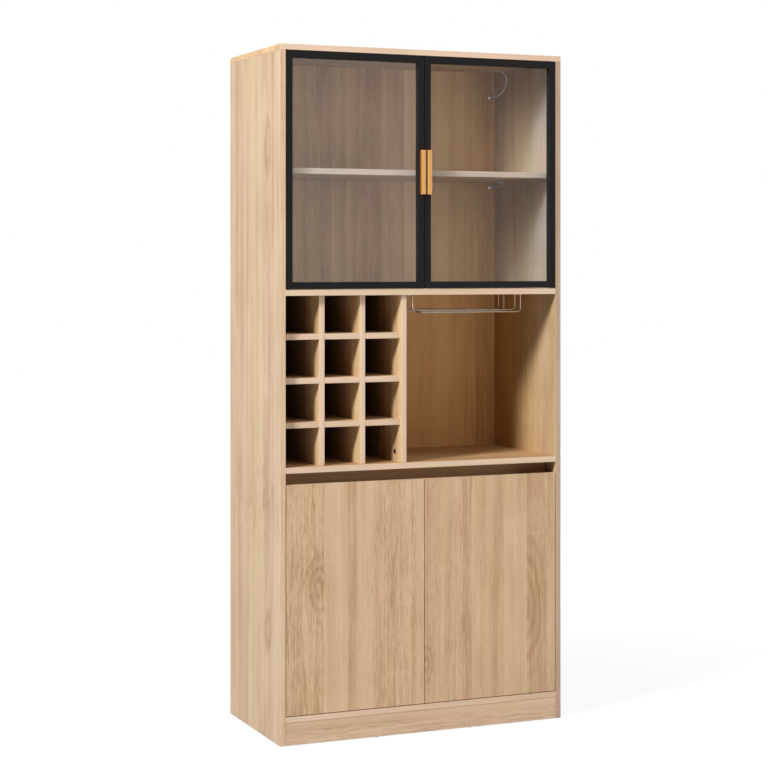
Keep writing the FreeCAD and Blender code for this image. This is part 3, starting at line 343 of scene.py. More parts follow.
def oak(name, across, grain, slide=(0.0, 0.0), tone=0.0, streak=0.5, shade=(1, 1, 1), leans=0.5, marks=1.0,
        painted_back_shade=None, staves=None, curls=(), rings=(), saws=()):
    """A melamine film whose grain runs along one axis of the cabinet.

    Shade multiplies the print's colour. Towards the back of a board below the glass doors, painted shade
    darkens it to a given colour.

    Staves lists the start, tone, streaks and lean of each stave. Curls, rings and saw marks each have a
    centre and radii in metres, across and along the grain, and rings also a lower and an upper bound
    across it and their number. Without a list of staves, chance sets them and the saw marks.
    """
    material, tree, shader = new_material(name)
    parts = split(tree, object_place(tree))
    into = next(axis for axis in AXES if axis not in (across, grain))
    turned = {number: parts[AXES[axis]] for number, axis in enumerate((across, into, grain))}
    board_place = step(tree, "ShaderNodeCombineXYZ", turned).outputs[0]
    shift = (slide[0], 0, slide[1])
    film = step(tree, "ShaderNodeGroup", {"Vector": board_place, "Slide": shift}, node_tree=oak_print)
    if staves:
        first, last = staves[0][0], staves[-1][0] + LAST_STAVE_WIDTH
        row = step(tree, "ShaderNodeValToRGB", {0: ramp(tree, turned[0], first, last)})
        row.color_ramp.interpolation = "CONSTANT"
        stops = row.color_ramp.elements
        stops.remove(stops[1])
        for number, (edge, stave_tone, stave_streak, lean) in enumerate(staves):
            stop = stops[0] if number == 0 else stops.new((edge - first) / (last - first))
            stop.color = (stave_tone, stave_streak, lean, 1)
        chances = step(tree, "ShaderNodeSeparateColor", {0: row.outputs[0]}).outputs
        own_tone = maths(tree, "MULTIPLY_ADD", maths(tree, "SUBTRACT", chances[0], 0.5), 1.15, tone)
        own_streak, own_lean = chances[1], ramp(tree, chances[2], 0, 1, -1, 1)
        saw_masks = [spot(tree, board_place, centre, radii, 0.25, True)[0] for centre, radii in saws]
    else:
        position = maths(tree, "DIVIDE", maths(tree, "ADD", turned[0], slide[0] + 5), STAVE_WIDTH)
        stave = step(tree, "ShaderNodeTexVoronoi", {"W": position, "Scale": 1.0, "Randomness": 0.85},
                     voronoi_dimensions="1D", feature="F1")
        chances = step(tree, "ShaderNodeSeparateColor", {0: stave.outputs["Color"]}).outputs
        own_tone = maths(tree, "MULTIPLY_ADD", maths(tree, "SUBTRACT", chances[0], 0.5), 0.26, tone)
        own_streak = times(tree, chances[1], 2 * streak)
        own_lean = ramp(tree, chances[2], 0, 1, -leans, leans)
        slid = vectors(tree, "ADD", board_place, shift)
        chance_marks = noise(tree, scaled(tree, slid, (1, 1, 0.6)), 13, 0.0)
        saw_masks = [ramp(tree, chance_marks, 0.60, 0.66, 0, marks)]
    fill(tree, film, {"Tone": own_tone, "Streak": own_streak, "Lean": own_lean})
    if saw_masks:
        fill(tree, film, {"Saw": total(tree, saw_masks)})
    if curls:
        masks = [spot(tree, board_place, centre, radii, 0.6)[0] for centre, radii in curls]
        fill(tree, film, {"Curl": total(tree, masks)})
    lines = []
    for centre, radii, (low, high), count in rings:
        mask, reach = spot(tree, board_place, centre, radii, 0.5)
        shake = noise(tree, scaled(tree, board_place, (1, 1, 0.4)), 26, 2.0)
        phase = maths(tree, "MULTIPLY_ADD", shake, 7.0, times(tree, reach, math.tau * count))
        within = times(tree, maths(tree, "GREATER_THAN", turned[0], low),
                       maths(tree, "LESS_THAN", turned[0], high))
        line = ramp(tree, maths(tree, "SINE", phase), -0.6, 1.0)
        lines.append(times(tree, times(tree, line, mask), within))
    if lines:
        fill(tree, film, {"Rings": total(tree, lines)})
    color, height = scaled(tree, film.outputs["Color"], shade), film.outputs["Height"]
    # Painted shade: darker towards the back of the board, below the glass doors
    if painted_back_shade:
        share = times(tree, ramp(tree, parts[1], *PAINTED_BACK_SHADE_DEPTHS), ramp(tree, parts[2], *PAINTED_BACK_SHADE_HEIGHTS))
        color = scaled(tree, color, blend(tree, share, (1, 1, 1, 1), (*painted_back_shade, 1)))
    fill(tree, shader, {"Base Color": color, "Roughness": ramp(tree, height, -1, 0.5, 0.62, 0.46),
                        "Normal": bump(tree, 0.25, 0.15 * MM, height), "Specular IOR Level": BOARD_GLOSS})
    return material


def welded_copy(node):
    """A copy of a CAD node's mesh with its loose triangles joined at their corners."""
    shape = bmesh.new()
    shape.from_mesh(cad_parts[node].data)
    bmesh.ops.remove_doubles(shape, verts=shape.verts, dist=0.002 * MM)
    return shape


def merged_copy(node):
    """A copy of a CAD node's mesh with its triangles merged into whole faces."""
    shape = welded_copy(node)
    bmesh.ops.dissolve_limit(shape, angle_limit=math.radians(0.5), verts=shape.verts, edges=shape.edges)
    return shape


def outer_edges(shape, low, high):
    """The edges that lie along the edges of the shape's own box."""
    near = 0.01 * MM
    found = []
    for edge in shape.edges:
        first, second = (vertex.co for vertex in edge.verts)
        held = sum(abs(first[axis] - second[axis]) < near
                   and (abs(first[axis] - low[axis]) < near or abs(first[axis] - high[axis]) < near)
                   for axis in range(3))
        if held == 2:
            found.append(edge)
    return found


def round_off(shape, edges, easing):
    bmesh.ops.bevel(shape, geom=edges, offset=easing, segments=2, profile=0.5, affect="EDGES",
                    clamp_overlap=True)


def to_mesh(name, shape):
    """The mesh of a bmesh. The bmesh goes."""
    mesh = bpy.data.meshes.new(name)
    shape.to_mesh(mesh)
    shape.free()
    return mesh


def finish_piece(name, mesh, node, body, smooth_angle=None, materials=()):
    """Turn a mesh into a piece that rides on a body and stands for a CAD node, where it has one."""
    for material in materials:
        mesh.materials.append(material)
    for face in mesh.polygons:
        face.use_smooth = smooth_angle is not None
    if smooth_angle is not None:
        mesh.set_sharp_from_angle(angle=math.radians(smooth_angle))
    piece = add_object(name, mesh)
    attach(piece, body)
    if node:
        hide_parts(node)
    return piece


def eased(node, material, body="root", easing=BOARD_EASING, band=None, rear=None,
          outer=None):
    """A board or bar as it is in the CAD model, with its long outer edges eased.

    A band is the material of the strip that covers its front edge, rear is that of its back face and outer
    that of its right face.
    """
    shape = merged_copy(node)
    low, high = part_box(node)
    round_off(shape, outer_edges(shape, low, high), easing)
    materials = [finish for finish in (material, band, rear, outer) if finish]
    for face in shape.faces:
        middle = face.calc_center_median()
        finish = (band if middle.y < low.y + easing else rear if middle.y > high.y - easing
                  else outer if middle.x > high.x - easing else None)
        face.material_index = materials.index(finish or material)
    name = node + "_board"
    return finish_piece(name, to_mesh(name, shape), node, body, materials=materials)


def chipboard(name, light, dark, fleck, weave=0.0):
    """Pressed wood: flecks of two tones, with the weave of the press's screen where it has one."""
    material, tree, shader = new_material(name)
    place = object_place(tree)
    flecks = step(tree, "ShaderNodeTexVoronoi", {"Vector": place, "Scale": 1 / fleck})
    chance = step(tree, "ShaderNodeSeparateColor", {0: flecks.outputs["Color"]}).outputs[0]
    level = maths(tree, "MULTIPLY_ADD", ramp(tree, noise(tree, place, 60, 3.0), 0.3, 0.7), 0.4,
                  times(tree, chance, 0.6))
    height = flecks.outputs["Distance"]
    if weave:
        parts = split(tree, place)
        waves = [maths(tree, "SINE", times(tree, parts[axis], math.tau / weave)) for axis in (0, 2)]
        height = times(tree, *waves)
        level = maths(tree, "MULTIPLY_ADD", height, 0.15, level)
    fill(tree, shader, {"Base Color": blend(tree, level, light, dark), "Roughness": 0.85,
                        "Normal": bump(tree, 0.5, 0.2 * MM, height), "Specular IOR Level": BOARD_GLOSS})
    return material


def edge_strip(name, grain, slide, tone, shade):
    """The strip of melamine film on the front edge of a board."""
    return oak(name, "y", grain, slide, tone, 0.3, shade=shade, leans=0.1, marks=0)


# Carcass: two side panels under a top panel, with fixed boards between them. The grain stands on the
# sides and lies on the boards, each board has its own cut of the print, its front edge is banded and its
# back edge is bare chipboard.
# Painted shade: the boards inside the cabinet are warmer and a little darker, standing in for the light
# bounced between them
INNER_PAINTED_WARM_SHADE = (0.97, 0.97, 0.86)
# A deeper, more orange print, lightened further as painted light
BACK_PRINT_AND_PAINTED_LIGHT = (1.44, 1.37, 1.02)
# Painted shade: the inner face of the right side panel, and the discs over the cams, are darker than the
# outer face, and darker again towards the back of the open bay
WALL_PAINTED_SHADE, WALL_PAINTED_BACK_SHADE = (0.76, 0.80, 0.74), (0.95, 0.74, 0.42)
# Painted shade: the floor of the open bay is darker and warmer than the other boards
FLOOR_PAINTED_SHADE = (0.84, 0.76, 0.60)
# Painted shade: the colour that the rack's boards and the bay divider reach at the back of the cells
RACK_PAINTED_BACK_SHADE = (0.29, 0.27, 0.27)
# Painted sheen and shade: the outer faces of the side panels are cooler, for the sheen of the white surround,
# and darker, for the strong lamp on the left
SIDE_PAINTED_SHEEN = (0.82, 0.88, 0.92)
edge_band = edge_strip("oak_edge_band", "x", (0.3, 0.2), 0.2, (1.06, 1.12, 1.22))
upright_band = edge_strip("oak_upright_band", "z", (0.1, 0.6), 0.2, (1.055, 1.11, 1.175))
side_band = edge_strip("oak_side_band", "z", (0.4, 0.2), 0.0, (0.84, 0.90, 1.01))
left_band = edge_strip("oak_left_band", "z", (0.2, 0.9), 0.1, (1.03, 1.08, 1.09))
raw_edge = chipboard("raw_chipboard", (0.60, 0.45, 0.30, 1), (0.33, 0.21, 0.12, 1), 1.6 * MM)
side_staves = (
    (-0.195, 0.59, 0.1, 0.55), (-0.146, 0.45, 0.4, 0.58), (-0.06, 0.56, 0.2, 0.35), (0.0, 0.58, 0.1, 0.3),
    (0.052, 0.46, 0.2, 0.5), (0.07, 0.56, 0.1, 0.45), (0.098, 0.44, 0.25, 0.56), (0.15, 0.51, 0.35, 0.4))
eased("left_side_panel", band=left_band, rear=raw_edge, material=oak(
    "oak_left_side", "y", "z", (0.31, 0.4), -0.06, shade=SIDE_PAINTED_SHEEN, staves=side_staves,
    curls=(((-0.085, 1.54), (0.05, 0.1)), ((-0.09, 0.28), (0.05, 0.075)), ((-0.02, 0.62), (0.22, 0.13))),
    rings=(((-0.095, 1.54), (0.045, 0.13), (-0.146, -0.06), 1.5),
           ((-0.10, 0.28), (0.04, 0.09), (-0.146, -0.06), 1.5)),
    saws=(((0.075, 0.56), (0.06, 0.035)), ((-0.08, 0.92), (0.05, 0.03)))))
outer_oak = oak("oak_outer_side", "y", "z", (1.21, 0.7), -0.06, shade=SIDE_PAINTED_SHEEN)
# Its inner face carries painted shade; its outer face does not
right_side = eased("right_side_panel", band=side_band, rear=raw_edge, outer=outer_oak, material=oak(
    "oak_right_side", "y", "z", (0.72, 1.3), -0.02, shade=WALL_PAINTED_SHADE, painted_back_shade=WALL_PAINTED_BACK_SHADE,
    curls=(((0.045, 0.79), (0.03, 0.075)),)))
glow_targets.objects.link(right_side)
for number, node in enumerate(("top_panel", "middle_panel", "bay_floor_panel", "bottom_panel")):
    eased(node, oak("oak_" + node, "y", "x", (0.17 * number, 0.53 * number), 0.0,
                    shade=FLOOR_PAINTED_SHADE if "floor" in node else INNER_PAINTED_WARM_SHADE), band=edge_band, rear=raw_edge)
eased("plinth_board", rear=raw_edge, material=oak(
    "oak_plinth", "z", "x", (0.05, 0.8), 0.1, 0.45, shade=(1.0, 1.04, 1.1), leans=0.2, marks=0))
# Painted shade: the grip rail, in the shade under the bay's floor, is warmer in tone
eased("grip_rail", oak("oak_grip_rail", "z", "x", (0.4, 0.1), 0.0, shade=(1.08, 0.96, 0.78), marks=0))

# Rack and bay: dividers and shelves of film-faced chipboard, banded at the front. The rack's shelves,
# slotted from the front, and its dividers, slotted from behind, lap each other.
# The bay divider and the rack's dividers and shelves darken towards the back by painted shade
for number, node in enumerate(("bay_divider", "left_rack_divider", "right_rack_divider")):
    eased(node, oak("oak_" + node, "y", "z", (0.29 * number + 0.1, 0.7 * number), 0.0, shade=INNER_PAINTED_WARM_SHADE,
                    painted_back_shade=RACK_PAINTED_BACK_SHADE), band=upright_band)
for number, node in enumerate(("lower_rack_shelf", "centre_rack_shelf", "upper_rack_shelf")):
    eased(node, oak("oak_" + node, "y", "x", (0.23 * number + 0.5, 0.31 * number), 0.0, shade=INNER_PAINTED_WARM_SHADE,
                    painted_back_shade=RACK_PAINTED_BACK_SHADE), band=edge_band)
shelf_band = edge_strip("oak_shelf_band", "x", (0.8, 0.5), 0.2, (1.0, 0.96, 0.88))
for number, node in enumerate(("display_shelf", "storage_shelf")):
    eased(node, oak("oak_" + node, "y", "x", (0.2 + 0.3 * number, 0.9), 0.0, shade=INNER_PAINTED_WARM_SHADE),
          band=shelf_band, rear=raw_edge)

# Back sheets: 3 mm hardboard in grooves, held by screws from behind. The inner face has a deeper, more orange
# # print, lightened further as painted light, and the rough, screened one is turned to the wall.
hardboard = chipboard("hardboard", (0.34, 0.22, 0.13, 1), (0.20, 0.12, 0.065, 1), 0.9 * MM, weave=2.2 * MM)
# Painted light and shade in these tones: dark staves on the left, bright ones in the middle of the open bay
# and ever darker ones towards the right side panel
back_staves_with_painted_shade = (
    (-0.39, 0.2, 0.4, 0.5), (-0.20, 0.14, 0.5, 0.4), (-0.12, 0.25, 0.4, 0.45), (-0.04, 0.15, 0.5, 0.42),
    (0.03, 0.3, 0.4, 0.55), (0.1, 0.78, 0.3, 0.45), (0.15, 0.7, 0.4, 0.6), (0.2, 0.76, 0.3, 0.45),
    (0.24, 0.58, 0.3, 0.45), (0.29, 0.4, 0.3, 0.5), (0.327, 0.22, 0.3, 0.5), (0.36, 0.1, 0.3, 0.5))
for number, node in enumerate(("upper_back_sheet", "lower_back_sheet")):
    sheet = eased(node, oak("oak_" + node, "x", "z", (0.06, 0.25 + number), 0.1, shade=BACK_PRINT_AND_PAINTED_LIGHT,
                            staves=back_staves_with_painted_shade), easing=0.2 * MM, rear=hardboard)
    glow_targets.objects.link(sheet)

# Wooden doors: flush panels of film-faced chipboard on concealed hinges. Their print stands upright, with
# its own staves, curls and saw marks.
eased("left_wood_door_panel", body="left_wood_door", material=oak(
    "oak_left_door", "x", "z", (0.93, 0.2),
    staves=((-0.39, 0.42, 0.95, 0.4), (-0.285, 0.62, 0.15, 0.55), (-0.218, 0.34, 0.4, 0.45),
            (-0.195, 0.56, 0.4, 0.55), (-0.152, 0.53, 0.7, 0.5), (-0.118, 0.41, 0.9, 0.4),
            (-0.088, 0.49, 0.8, 0.45), (-0.025, 0.56, 0.4, 0.6)),
    curls=(((-0.313, 0.43), (0.045, 0.10)),),
    rings=(((-0.30, 0.40), (0.05, 0.11), (-0.388, -0.286), 3.5),),
    saws=(((-0.07, 0.632), (0.046, 0.036)), ((-0.056, 0.377), (0.032, 0.04)),
          ((-0.07, 0.16), (0.044, 0.012)))))
eased("right_wood_door_panel", body="right_wood_door", material=oak(
    "oak_right_door", "x", "z", (1.63, 1.1), shade=(0.96, 0.96, 0.93),
    staves=((0.0, 0.46, 0.6, 0.65), (0.034, 0.5, 0.5, 0.35), (0.076, 0.52, 0.7, 0.7), (0.11, 0.4, 0.6, 0.6),
            (0.136, 0.58, 0.5, 0.4), (0.186, 0.5, 0.4, 0.45), (0.2, 0.4, 0.3, 0.4), (0.232, 0.58, 0.3, 0.4),
            (0.3, 0.36, 0.4, 0.5), (0.356, 0.43, 0.6, 0.45)),
    curls=(((0.015, 0.18), (0.02, 0.06)),),
    rings=(((0.296, 0.31), (0.085, 0.25), (0.3, 0.4), 5.0), ((0.005, 0.18), (0.03, 0.08), (0.0, 0.034), 3.0)),
    saws=(((0.266, 0.52), (0.034, 0.042)), ((0.056, 0.43), (0.02, 0.015)), ((0.33, 0.509), (0.028, 0.003)))))


# Glass doors: black coated bars, mitred at the corners, round a lightly smoked pane. A dark gasket in the
# bars' groove holds the pane.
SMOKE = (0.70, 0.74, 0.80)
SMOKE_PER_FACE = (0.73, 0.84, 0.98)
SHARP_ANGLE = 0.6


def mottled(tree, color, pattern, low, high):
    """A colour that a pattern makes a little darker and lighter."""
    return scaled(tree, color, ramp(tree, pattern, 0.3, 0.7, low, high))


def coated(name, color, roughness, gloss=0.5):
    """A powder or lacquer coat with a fine orange-peel surface."""
    material, tree, shader = new_material(name)
    grain = noise(tree, object_place(tree), 900, 3.0, 0.6)
    fill(tree, shader, {"Base Color": mottled(tree, color, grain, 0.92, 1.08),
                        "Roughness": ramp(tree, grain, 0.3, 0.7, roughness - 0.04, roughness + 0.04),
                        "Normal": bump(tree, 0.2, 0.05 * MM, grain), "Specular IOR Level": gloss})
    return material


def pane_glass():
    """Float glass with a faint grey tint. Lamps shine through it, dimmed by each of its faces."""
    values = {"Base Color": (*SMOKE, 1), "Roughness": 0.0, "IOR": 1.52, "Transmission Weight": 1.0}
    material, tree, shader = new_material("smoked_glass", values)
    open_to_lamps = step(tree, "ShaderNodeBsdfTransparent", {"Color": (*SMOKE_PER_FACE, 1)})
    mix_in(tree, step(tree, "ShaderNodeLightPath").outputs["Is Shadow Ray"], shader, open_to_lamps)
    return material


def paint(node, material):
    """Give a CAD node that keeps its own shape its finish."""
    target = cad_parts[node]
    target.data.materials.clear()
    target.data.materials.append(material)


def softened(node, material, body="root", easing=0.2 * MM):
    """A fitting as it is in the CAD model, with its sharp edges broken and its round faces smooth."""
    shape = merged_copy(node)
    sharp = [edge for edge in shape.edges
             if len(edge.link_faces) == 2 and edge.calc_face_angle(0) > SHARP_ANGLE]
    round_off(shape, sharp, easing)
    name = node + "_form"
    return finish_piece(name, to_mesh(name, shape), node, body, 35, [material])


black_coat = coated("black_coat", (0.0115, 0.0105, 0.011), 0.5, gloss=0.08)
dark_rubber = coated("dark_rubber", (0.03, 0.032, 0.026), 0.7, gloss=0.2)
glass = pane_glass()
for side in ("left", "right"):
    door = side + "_glass_door"
    for bar in ("hinge_stile", "handle_stile", "top_rail", "bottom_rail"):
        eased(f"{door}_{bar}", black_coat, door, 0.5 * MM)
    paint(door + "_pane", glass)
    paint(door + "_gasket", dark_rubber)


# Handles: square brass-coloured bars, brushed along their length. They lie flat on the free stiles, each
# held by two screws from behind.
def brushed(name, color, roughness, along="z", depth=0.35):
    """Metal with fine lines along one axis."""
    material, tree, shader = new_material(name, {"Metallic": 1.0})
    stretch = tuple(0.02 if axis == along else 1 for axis in AXES)
    lines = noise(tree, scaled(tree, object_place(tree), stretch), 2600, 2.0, 0.6)
    fill(tree, shader, {"Base Color": mottled(tree, color, lines, 0.9, 1.06),
                        "Roughness": ramp(tree, lines, 0.3, 0.7, roughness - 0.05, roughness + 0.07),
                        "Normal": bump(tree, depth, 0.02 * MM, lines)})
    return material


gold = brushed("gold", (0.58, 0.33, 0.12), 0.42)
# Painted shade: the handles' front faces are gold, their other faces a darker, redder gold
gold_painted_shade = brushed("gold_painted_shade", (0.62, 0.26, 0.07), 0.42)
zinc = brushed("zinc", (0.60, 0.60, 0.59), 0.38, "y")
for side in ("left", "right"):
    eased(side + "_glass_door_handle", gold_painted_shade, side + "_glass_door", 0.3 * MM, band=gold)


# Fasteners: each kind is made once, to the size of its CAD solid, and set at every place of that kind.
# Screws, bolts, pins and hinges are zinc-plated steel, cams are die-cast and dowels are fluted beech.
THREAD_PITCH = 1.4 * MM
THREAD_DEPTH = 0.35 * MM
CROSS_SPAN = 3.6


def lathe(profile, segments=32):
    """A closed shape of revolution about z from (radius, height) points, which start and end on the axis."""
    shape = bmesh.new()
    rows = []
    for radius, height in profile:
        if radius == 0:
            rows.append([shape.verts.new((0, 0, height))] * segments)
        else:
            rows.append([shape.verts.new((radius * math.cos(turn), radius * math.sin(turn), height))
                         for turn in (math.tau * number / segments for number in range(segments))])
    for first, second in zip(rows, rows[1:]):
        for number in range(segments):
            after = (number + 1) % segments
            corners = []
            for vertex in (first[number], first[after], second[after], second[number]):
                if vertex not in corners:
                    corners.append(vertex)
            shape.faces.new(corners)
    bmesh.ops.recalc_face_normals(shape, faces=shape.faces)
    return shape


def add_thread(shape, radius, start, stop, segments=16):
    """Wind a thread round z between two heights."""
    turns = int((stop - start) / THREAD_PITCH)
    rows = []
    for row in range(2 * turns + 1):
        reach = radius if row % 2 else radius - THREAD_DEPTH
        rows.append([shape.verts.new((reach * math.cos(turn), reach * math.sin(turn),
                                      start + THREAD_PITCH * (row / 2 + turn / math.tau)))
                     for turn in (math.tau * number / segments for number in range(segments))])
    for number in range(segments):
        for row in range(len(rows) - (1 if number < segments - 1 else 3)):
            after, lift = ((number + 1), 0) if number < segments - 1 else (0, 2)
            shape.faces.new((rows[row][number], rows[row + lift][after], rows[row + lift + 1][after],
                             rows[row + 1][number]))


def box(size, centre):
    shape = bmesh.new()
    bmesh.ops.create_cube(shape, size=1)
    bmesh.ops.scale(shape, vec=size, verts=shape.verts)
    bmesh.ops.translate(shape, vec=centre, verts=shape.verts)
    return shape


def baked(thing):
    """The mesh of an object with its modifiers applied. The modifiers go."""
    graph = bpy.context.evaluated_depsgraph_get()
    mesh = bpy.data.meshes.new_from_object(thing.evaluated_get(graph))
    thing.modifiers.clear()
    return mesh


def cross_recessed(name, blank, width, depth):
    """A blank with a drive cross sunk into its face at height 0."""
    thing = add_object(name, to_mesh(name, blank))
    span = CROSS_SPAN * width
    for size in ((span, width, 2 * depth), (width, span, 2 * depth)):
        cutter = add_object("cutter", to_mesh("cutter", box(size, (0, 0, 0))))
        cut = thing.modifiers.new("recess", "BOOLEAN")
        cut.operation = "DIFFERENCE"
        cut.solver = "EXACT"
        cut.object = cutter
        thing.data = baked(thing)
        bpy.data.objects.remove(cutter)
    mesh = thing.data
    bpy.data.objects.remove(thing)
    return mesh


def solids_of(node):
    """Each solid of a CAD node: its box, its middle, its long axis, and if its wide end is the lower one."""
    shape = welded_copy(node)
    left = set(shape.verts)
    found = []
    while left:
        queue = [left.pop()]
        points = []
        while queue:
            vertex = queue.pop()
            points.append(vertex.co.copy())
            for edge in vertex.link_edges:
                other = edge.other_vert(vertex)
                if other in left:
                    left.remove(other)
                    queue.append(other)
        low = Vector([min(point[axis] for point in points) for axis in range(3)])
        high = Vector([max(point[axis] for point in points) for axis in range(3)])
        size = high - low
        long_axis = max(range(3), key=lambda axis: size[axis])
        aside = (long_axis + 1) % 3
        ends = [[abs(point[aside] - (low + high)[aside] / 2) for point in points
                 if abs(point[long_axis] - end[long_axis]) < 0.1 * MM] for end in (low, high)]
        found.append({"low": low, "high": high, "middle": (low + high) / 2, "axis": long_axis,
                      "wide_low": max(ends[0]) >= max(ends[1])})
    shape.free()
    return sorted(found, key=lambda solid: tuple(round(value, 4) for value in solid["low"]))


def unit(axis, sign=1):
    return Vector([sign if number == axis else 0 for number in range(3)])


def from_wide_end(node):
    """For each solid of a node, the middle of its wide end and the direction from there to the other end."""
    places = []
    for solid in solids_of(node):
        place = solid["middle"]
        place[solid["axis"]] = solid["low" if solid["wide_low"] else "high"][solid["axis"]]
        places.append((place, unit(solid["axis"], 1 if solid["wide_low"] else -1)))
    return places


def build_repeater():
    """Geometry nodes that set a pattern object at every point, its z along the point's aim."""
    tree, group_input, result = group_tree(
        "repeater", "GeometryNodeTree",
        {"Geometry": "Geometry", "Pattern": "Object", "Largest Turn": "Float", "Seed": "Int",
         "Material": "Material"}, {"Geometry": "Geometry"})
    given = group_input.outputs
    aim = step(tree, "GeometryNodeInputNamedAttribute", {"Name": "aim"}, data_type="FLOAT_VECTOR")
    aimed = step(tree, "FunctionNodeAlignRotationToVector", {"Vector": aim.outputs[0]}, axis="Z")
    chance = step(tree, "FunctionNodeRandomValue", {"Max": given["Largest Turn"], "Seed": given["Seed"]},
                  data_type="FLOAT")
    turn = step(tree, "FunctionNodeAxisAngleToRotation",
                {"Axis": (0, 0, 1), "Angle": chance.outputs["Value"]})
    turned = step(tree, "FunctionNodeRotateRotation",
                  {"Rotation": aimed.outputs[0], "Rotate By": turn.outputs[0]}, rotation_space="LOCAL")
    pattern = step(tree, "GeometryNodeObjectInfo", {"Object": given["Pattern"]})
    placed = step(tree, "GeometryNodeInstanceOnPoints",
                  {"Points": given["Geometry"], "Instance": pattern.outputs["Geometry"],
                   "Rotation": turned.outputs[0]})
    real = step(tree, "GeometryNodeRealizeInstances", {"Geometry": placed.outputs[0]})
    dressed = step(tree, "GeometryNodeSetMaterial",
                   {"Geometry": real.outputs[0], "Material": given["Material"]})
    tree.links.new(dressed.outputs[0], result.inputs["Geometry"])
    return tree


repeater = build_repeater()


def repeat(name, pattern_mesh, places, material, body="root", node=None,
           turn=math.tau, seed=7, smooth_angle=35):
    """Set a pattern at each place, given as a point and a direction, and keep the result as one piece."""
    points = bpy.data.meshes.new(name + "_points")
    points.from_pydata([place for place, _ in places], [], [])
    aim = points.attributes.new("aim", "FLOAT_VECTOR", "POINT")
    aim.data.foreach_set("vector", [value for _, direction in places for value in direction])
    carrier = add_object(name + "_carrier", points)
    pattern = add_object(name + "_pattern", pattern_mesh)
    made = carrier.modifiers.new("repeat", "NODES")
    made.node_group = repeater
    values = {"Pattern": pattern, "Largest Turn": turn, "Seed": seed, "Material": material}
    for item in repeater.interface.items_tree:
        if item.in_out == "INPUT" and item.name in values:
            made[item.identifier] = values[item.name]
    carrier.update_tag()
    bpy.context.view_layer.update()
    mesh = baked(carrier)
    bpy.data.objects.remove(carrier)
    bpy.data.objects.remove(pattern)
    mesh.name = name
    return finish_piece(name, mesh, node, body, smooth_angle)


def screw(head_radius, head_height, shank_radius, length):
    """A pan-head chipboard screw with a drive cross. Its head's face lies at height 0."""
    crown = 0.35 * head_height
    core = shank_radius - THREAD_DEPTH
    blank = lathe([(0, 0), (0.7 * head_radius, 0), (0.93 * head_radius, 0.3 * crown), (head_radius, crown),
                   (head_radius, head_height), (core, head_height), (core, length - 1.5 * core), (0, length)])
    shape = bmesh.new()
    shape.from_mesh(cross_recessed("screw", blank, 0.24 * head_radius, 0.6 * head_height))
    add_thread(shape, shank_radius, head_height + 0.8 * MM, length - 2 * core - THREAD_PITCH)
    return to_mesh("screw", shape)


SCREWS = {
    # Head radius, head height, shank radius and whole length in millimetres
    "back_sheet_screws": (3.5, 1.5, 1.5, 16.5),
    "hinge_plate_screws": (3.5, 2, 2, 13),
    "stem_rack_screws": (3.5, 2, 1.75, 13),
    "left_glass_door_handle_screws": (3.5, 2, 2, 32),
    "right_glass_door_handle_screws": (3.5, 2, 2, 32),
}
for number, (node, sizes) in enumerate(SCREWS.items()):
    body = node.removesuffix("_handle_screws") if "door" in node else "root"
    repeat(node + "_made", screw(*(size * MM for size in sizes)), from_wide_end(node), zinc, body,
           node=node, seed=number)

# Cam connectors: a cam sits in the face of one board and draws in the ball head of a bolt screwed into the
# next. Stuck-on discs of edge band hide every cam but those at the foot of the bay divider.
CAM_RADIUS, CAM_HEIGHT = 7.5 * MM, 12 * MM
CAP_RADIUS, CAP_HEIGHT = 8.6 * MM, 0.35 * MM
BOLT_RADIUS, BOLT_LENGTH = 3 * MM, 39 * MM
SHANK_END, THREAD_START = 27 * MM, 27.6 * MM
# Cams nearer to the middle than this, and lower, are those at the foot of the bay divider
NEAR_MIDDLE, RACK_FOOT = 0.3, 0.9
# Painted shade: the cams are near black, standing in for the shade in their holes
cam_metal = brushed("cam_metal", (0.05, 0.048, 0.046), 0.5, "x")
cams = []
for solid in solids_of("cam_locks"):
    place = solid["middle"]
    into = min(range(3), key=lambda axis: (solid["high"] - solid["low"])[axis])
    face_is_high = into == 0 and place.x < -NEAR_MIDDLE
    place[into] = solid["high" if face_is_high else "low"][into]
    cams.append((place, unit(into, -1 if face_is_high else 1)))
cam = lathe([(0, 0), (CAM_RADIUS - 0.4 * MM, 0), (CAM_RADIUS, 0.4 * MM), (CAM_RADIUS, 0.35 * CAM_HEIGHT),
             (0.6 * CAM_RADIUS, 0.4 * CAM_HEIGHT), (0.6 * CAM_RADIUS, 0.75 * CAM_HEIGHT),
             (CAM_RADIUS, 0.8 * CAM_HEIGHT), (CAM_RADIUS, CAM_HEIGHT), (0, CAM_HEIGHT)])
repeat("cam_locks_made", cross_recessed("cam", cam, 1.6 * MM, 2.5 * MM), cams, cam_metal,
       node="cam_locks", turn=0)
covered = [(place - aim * CAP_HEIGHT, aim) for place, aim in cams
           if abs(place.x) >= NEAR_MIDDLE or place.z >= RACK_FOOT]
cap = lathe([(0, 0), (CAP_RADIUS - 0.2 * MM, 0), (CAP_RADIUS, 0.15 * MM), (CAP_RADIUS, CAP_HEIGHT),
             (0, CAP_HEIGHT)])
# The discs take the right wall's print with its painted shade
cover = oak("oak_cam_cover", "y", "z", (0.72, 1.3), -0.02, shade=WALL_PAINTED_SHADE, painted_back_shade=WALL_PAINTED_BACK_SHADE)
repeat("cam_covers", to_mesh("cap", cap), covered, cover, turn=0)

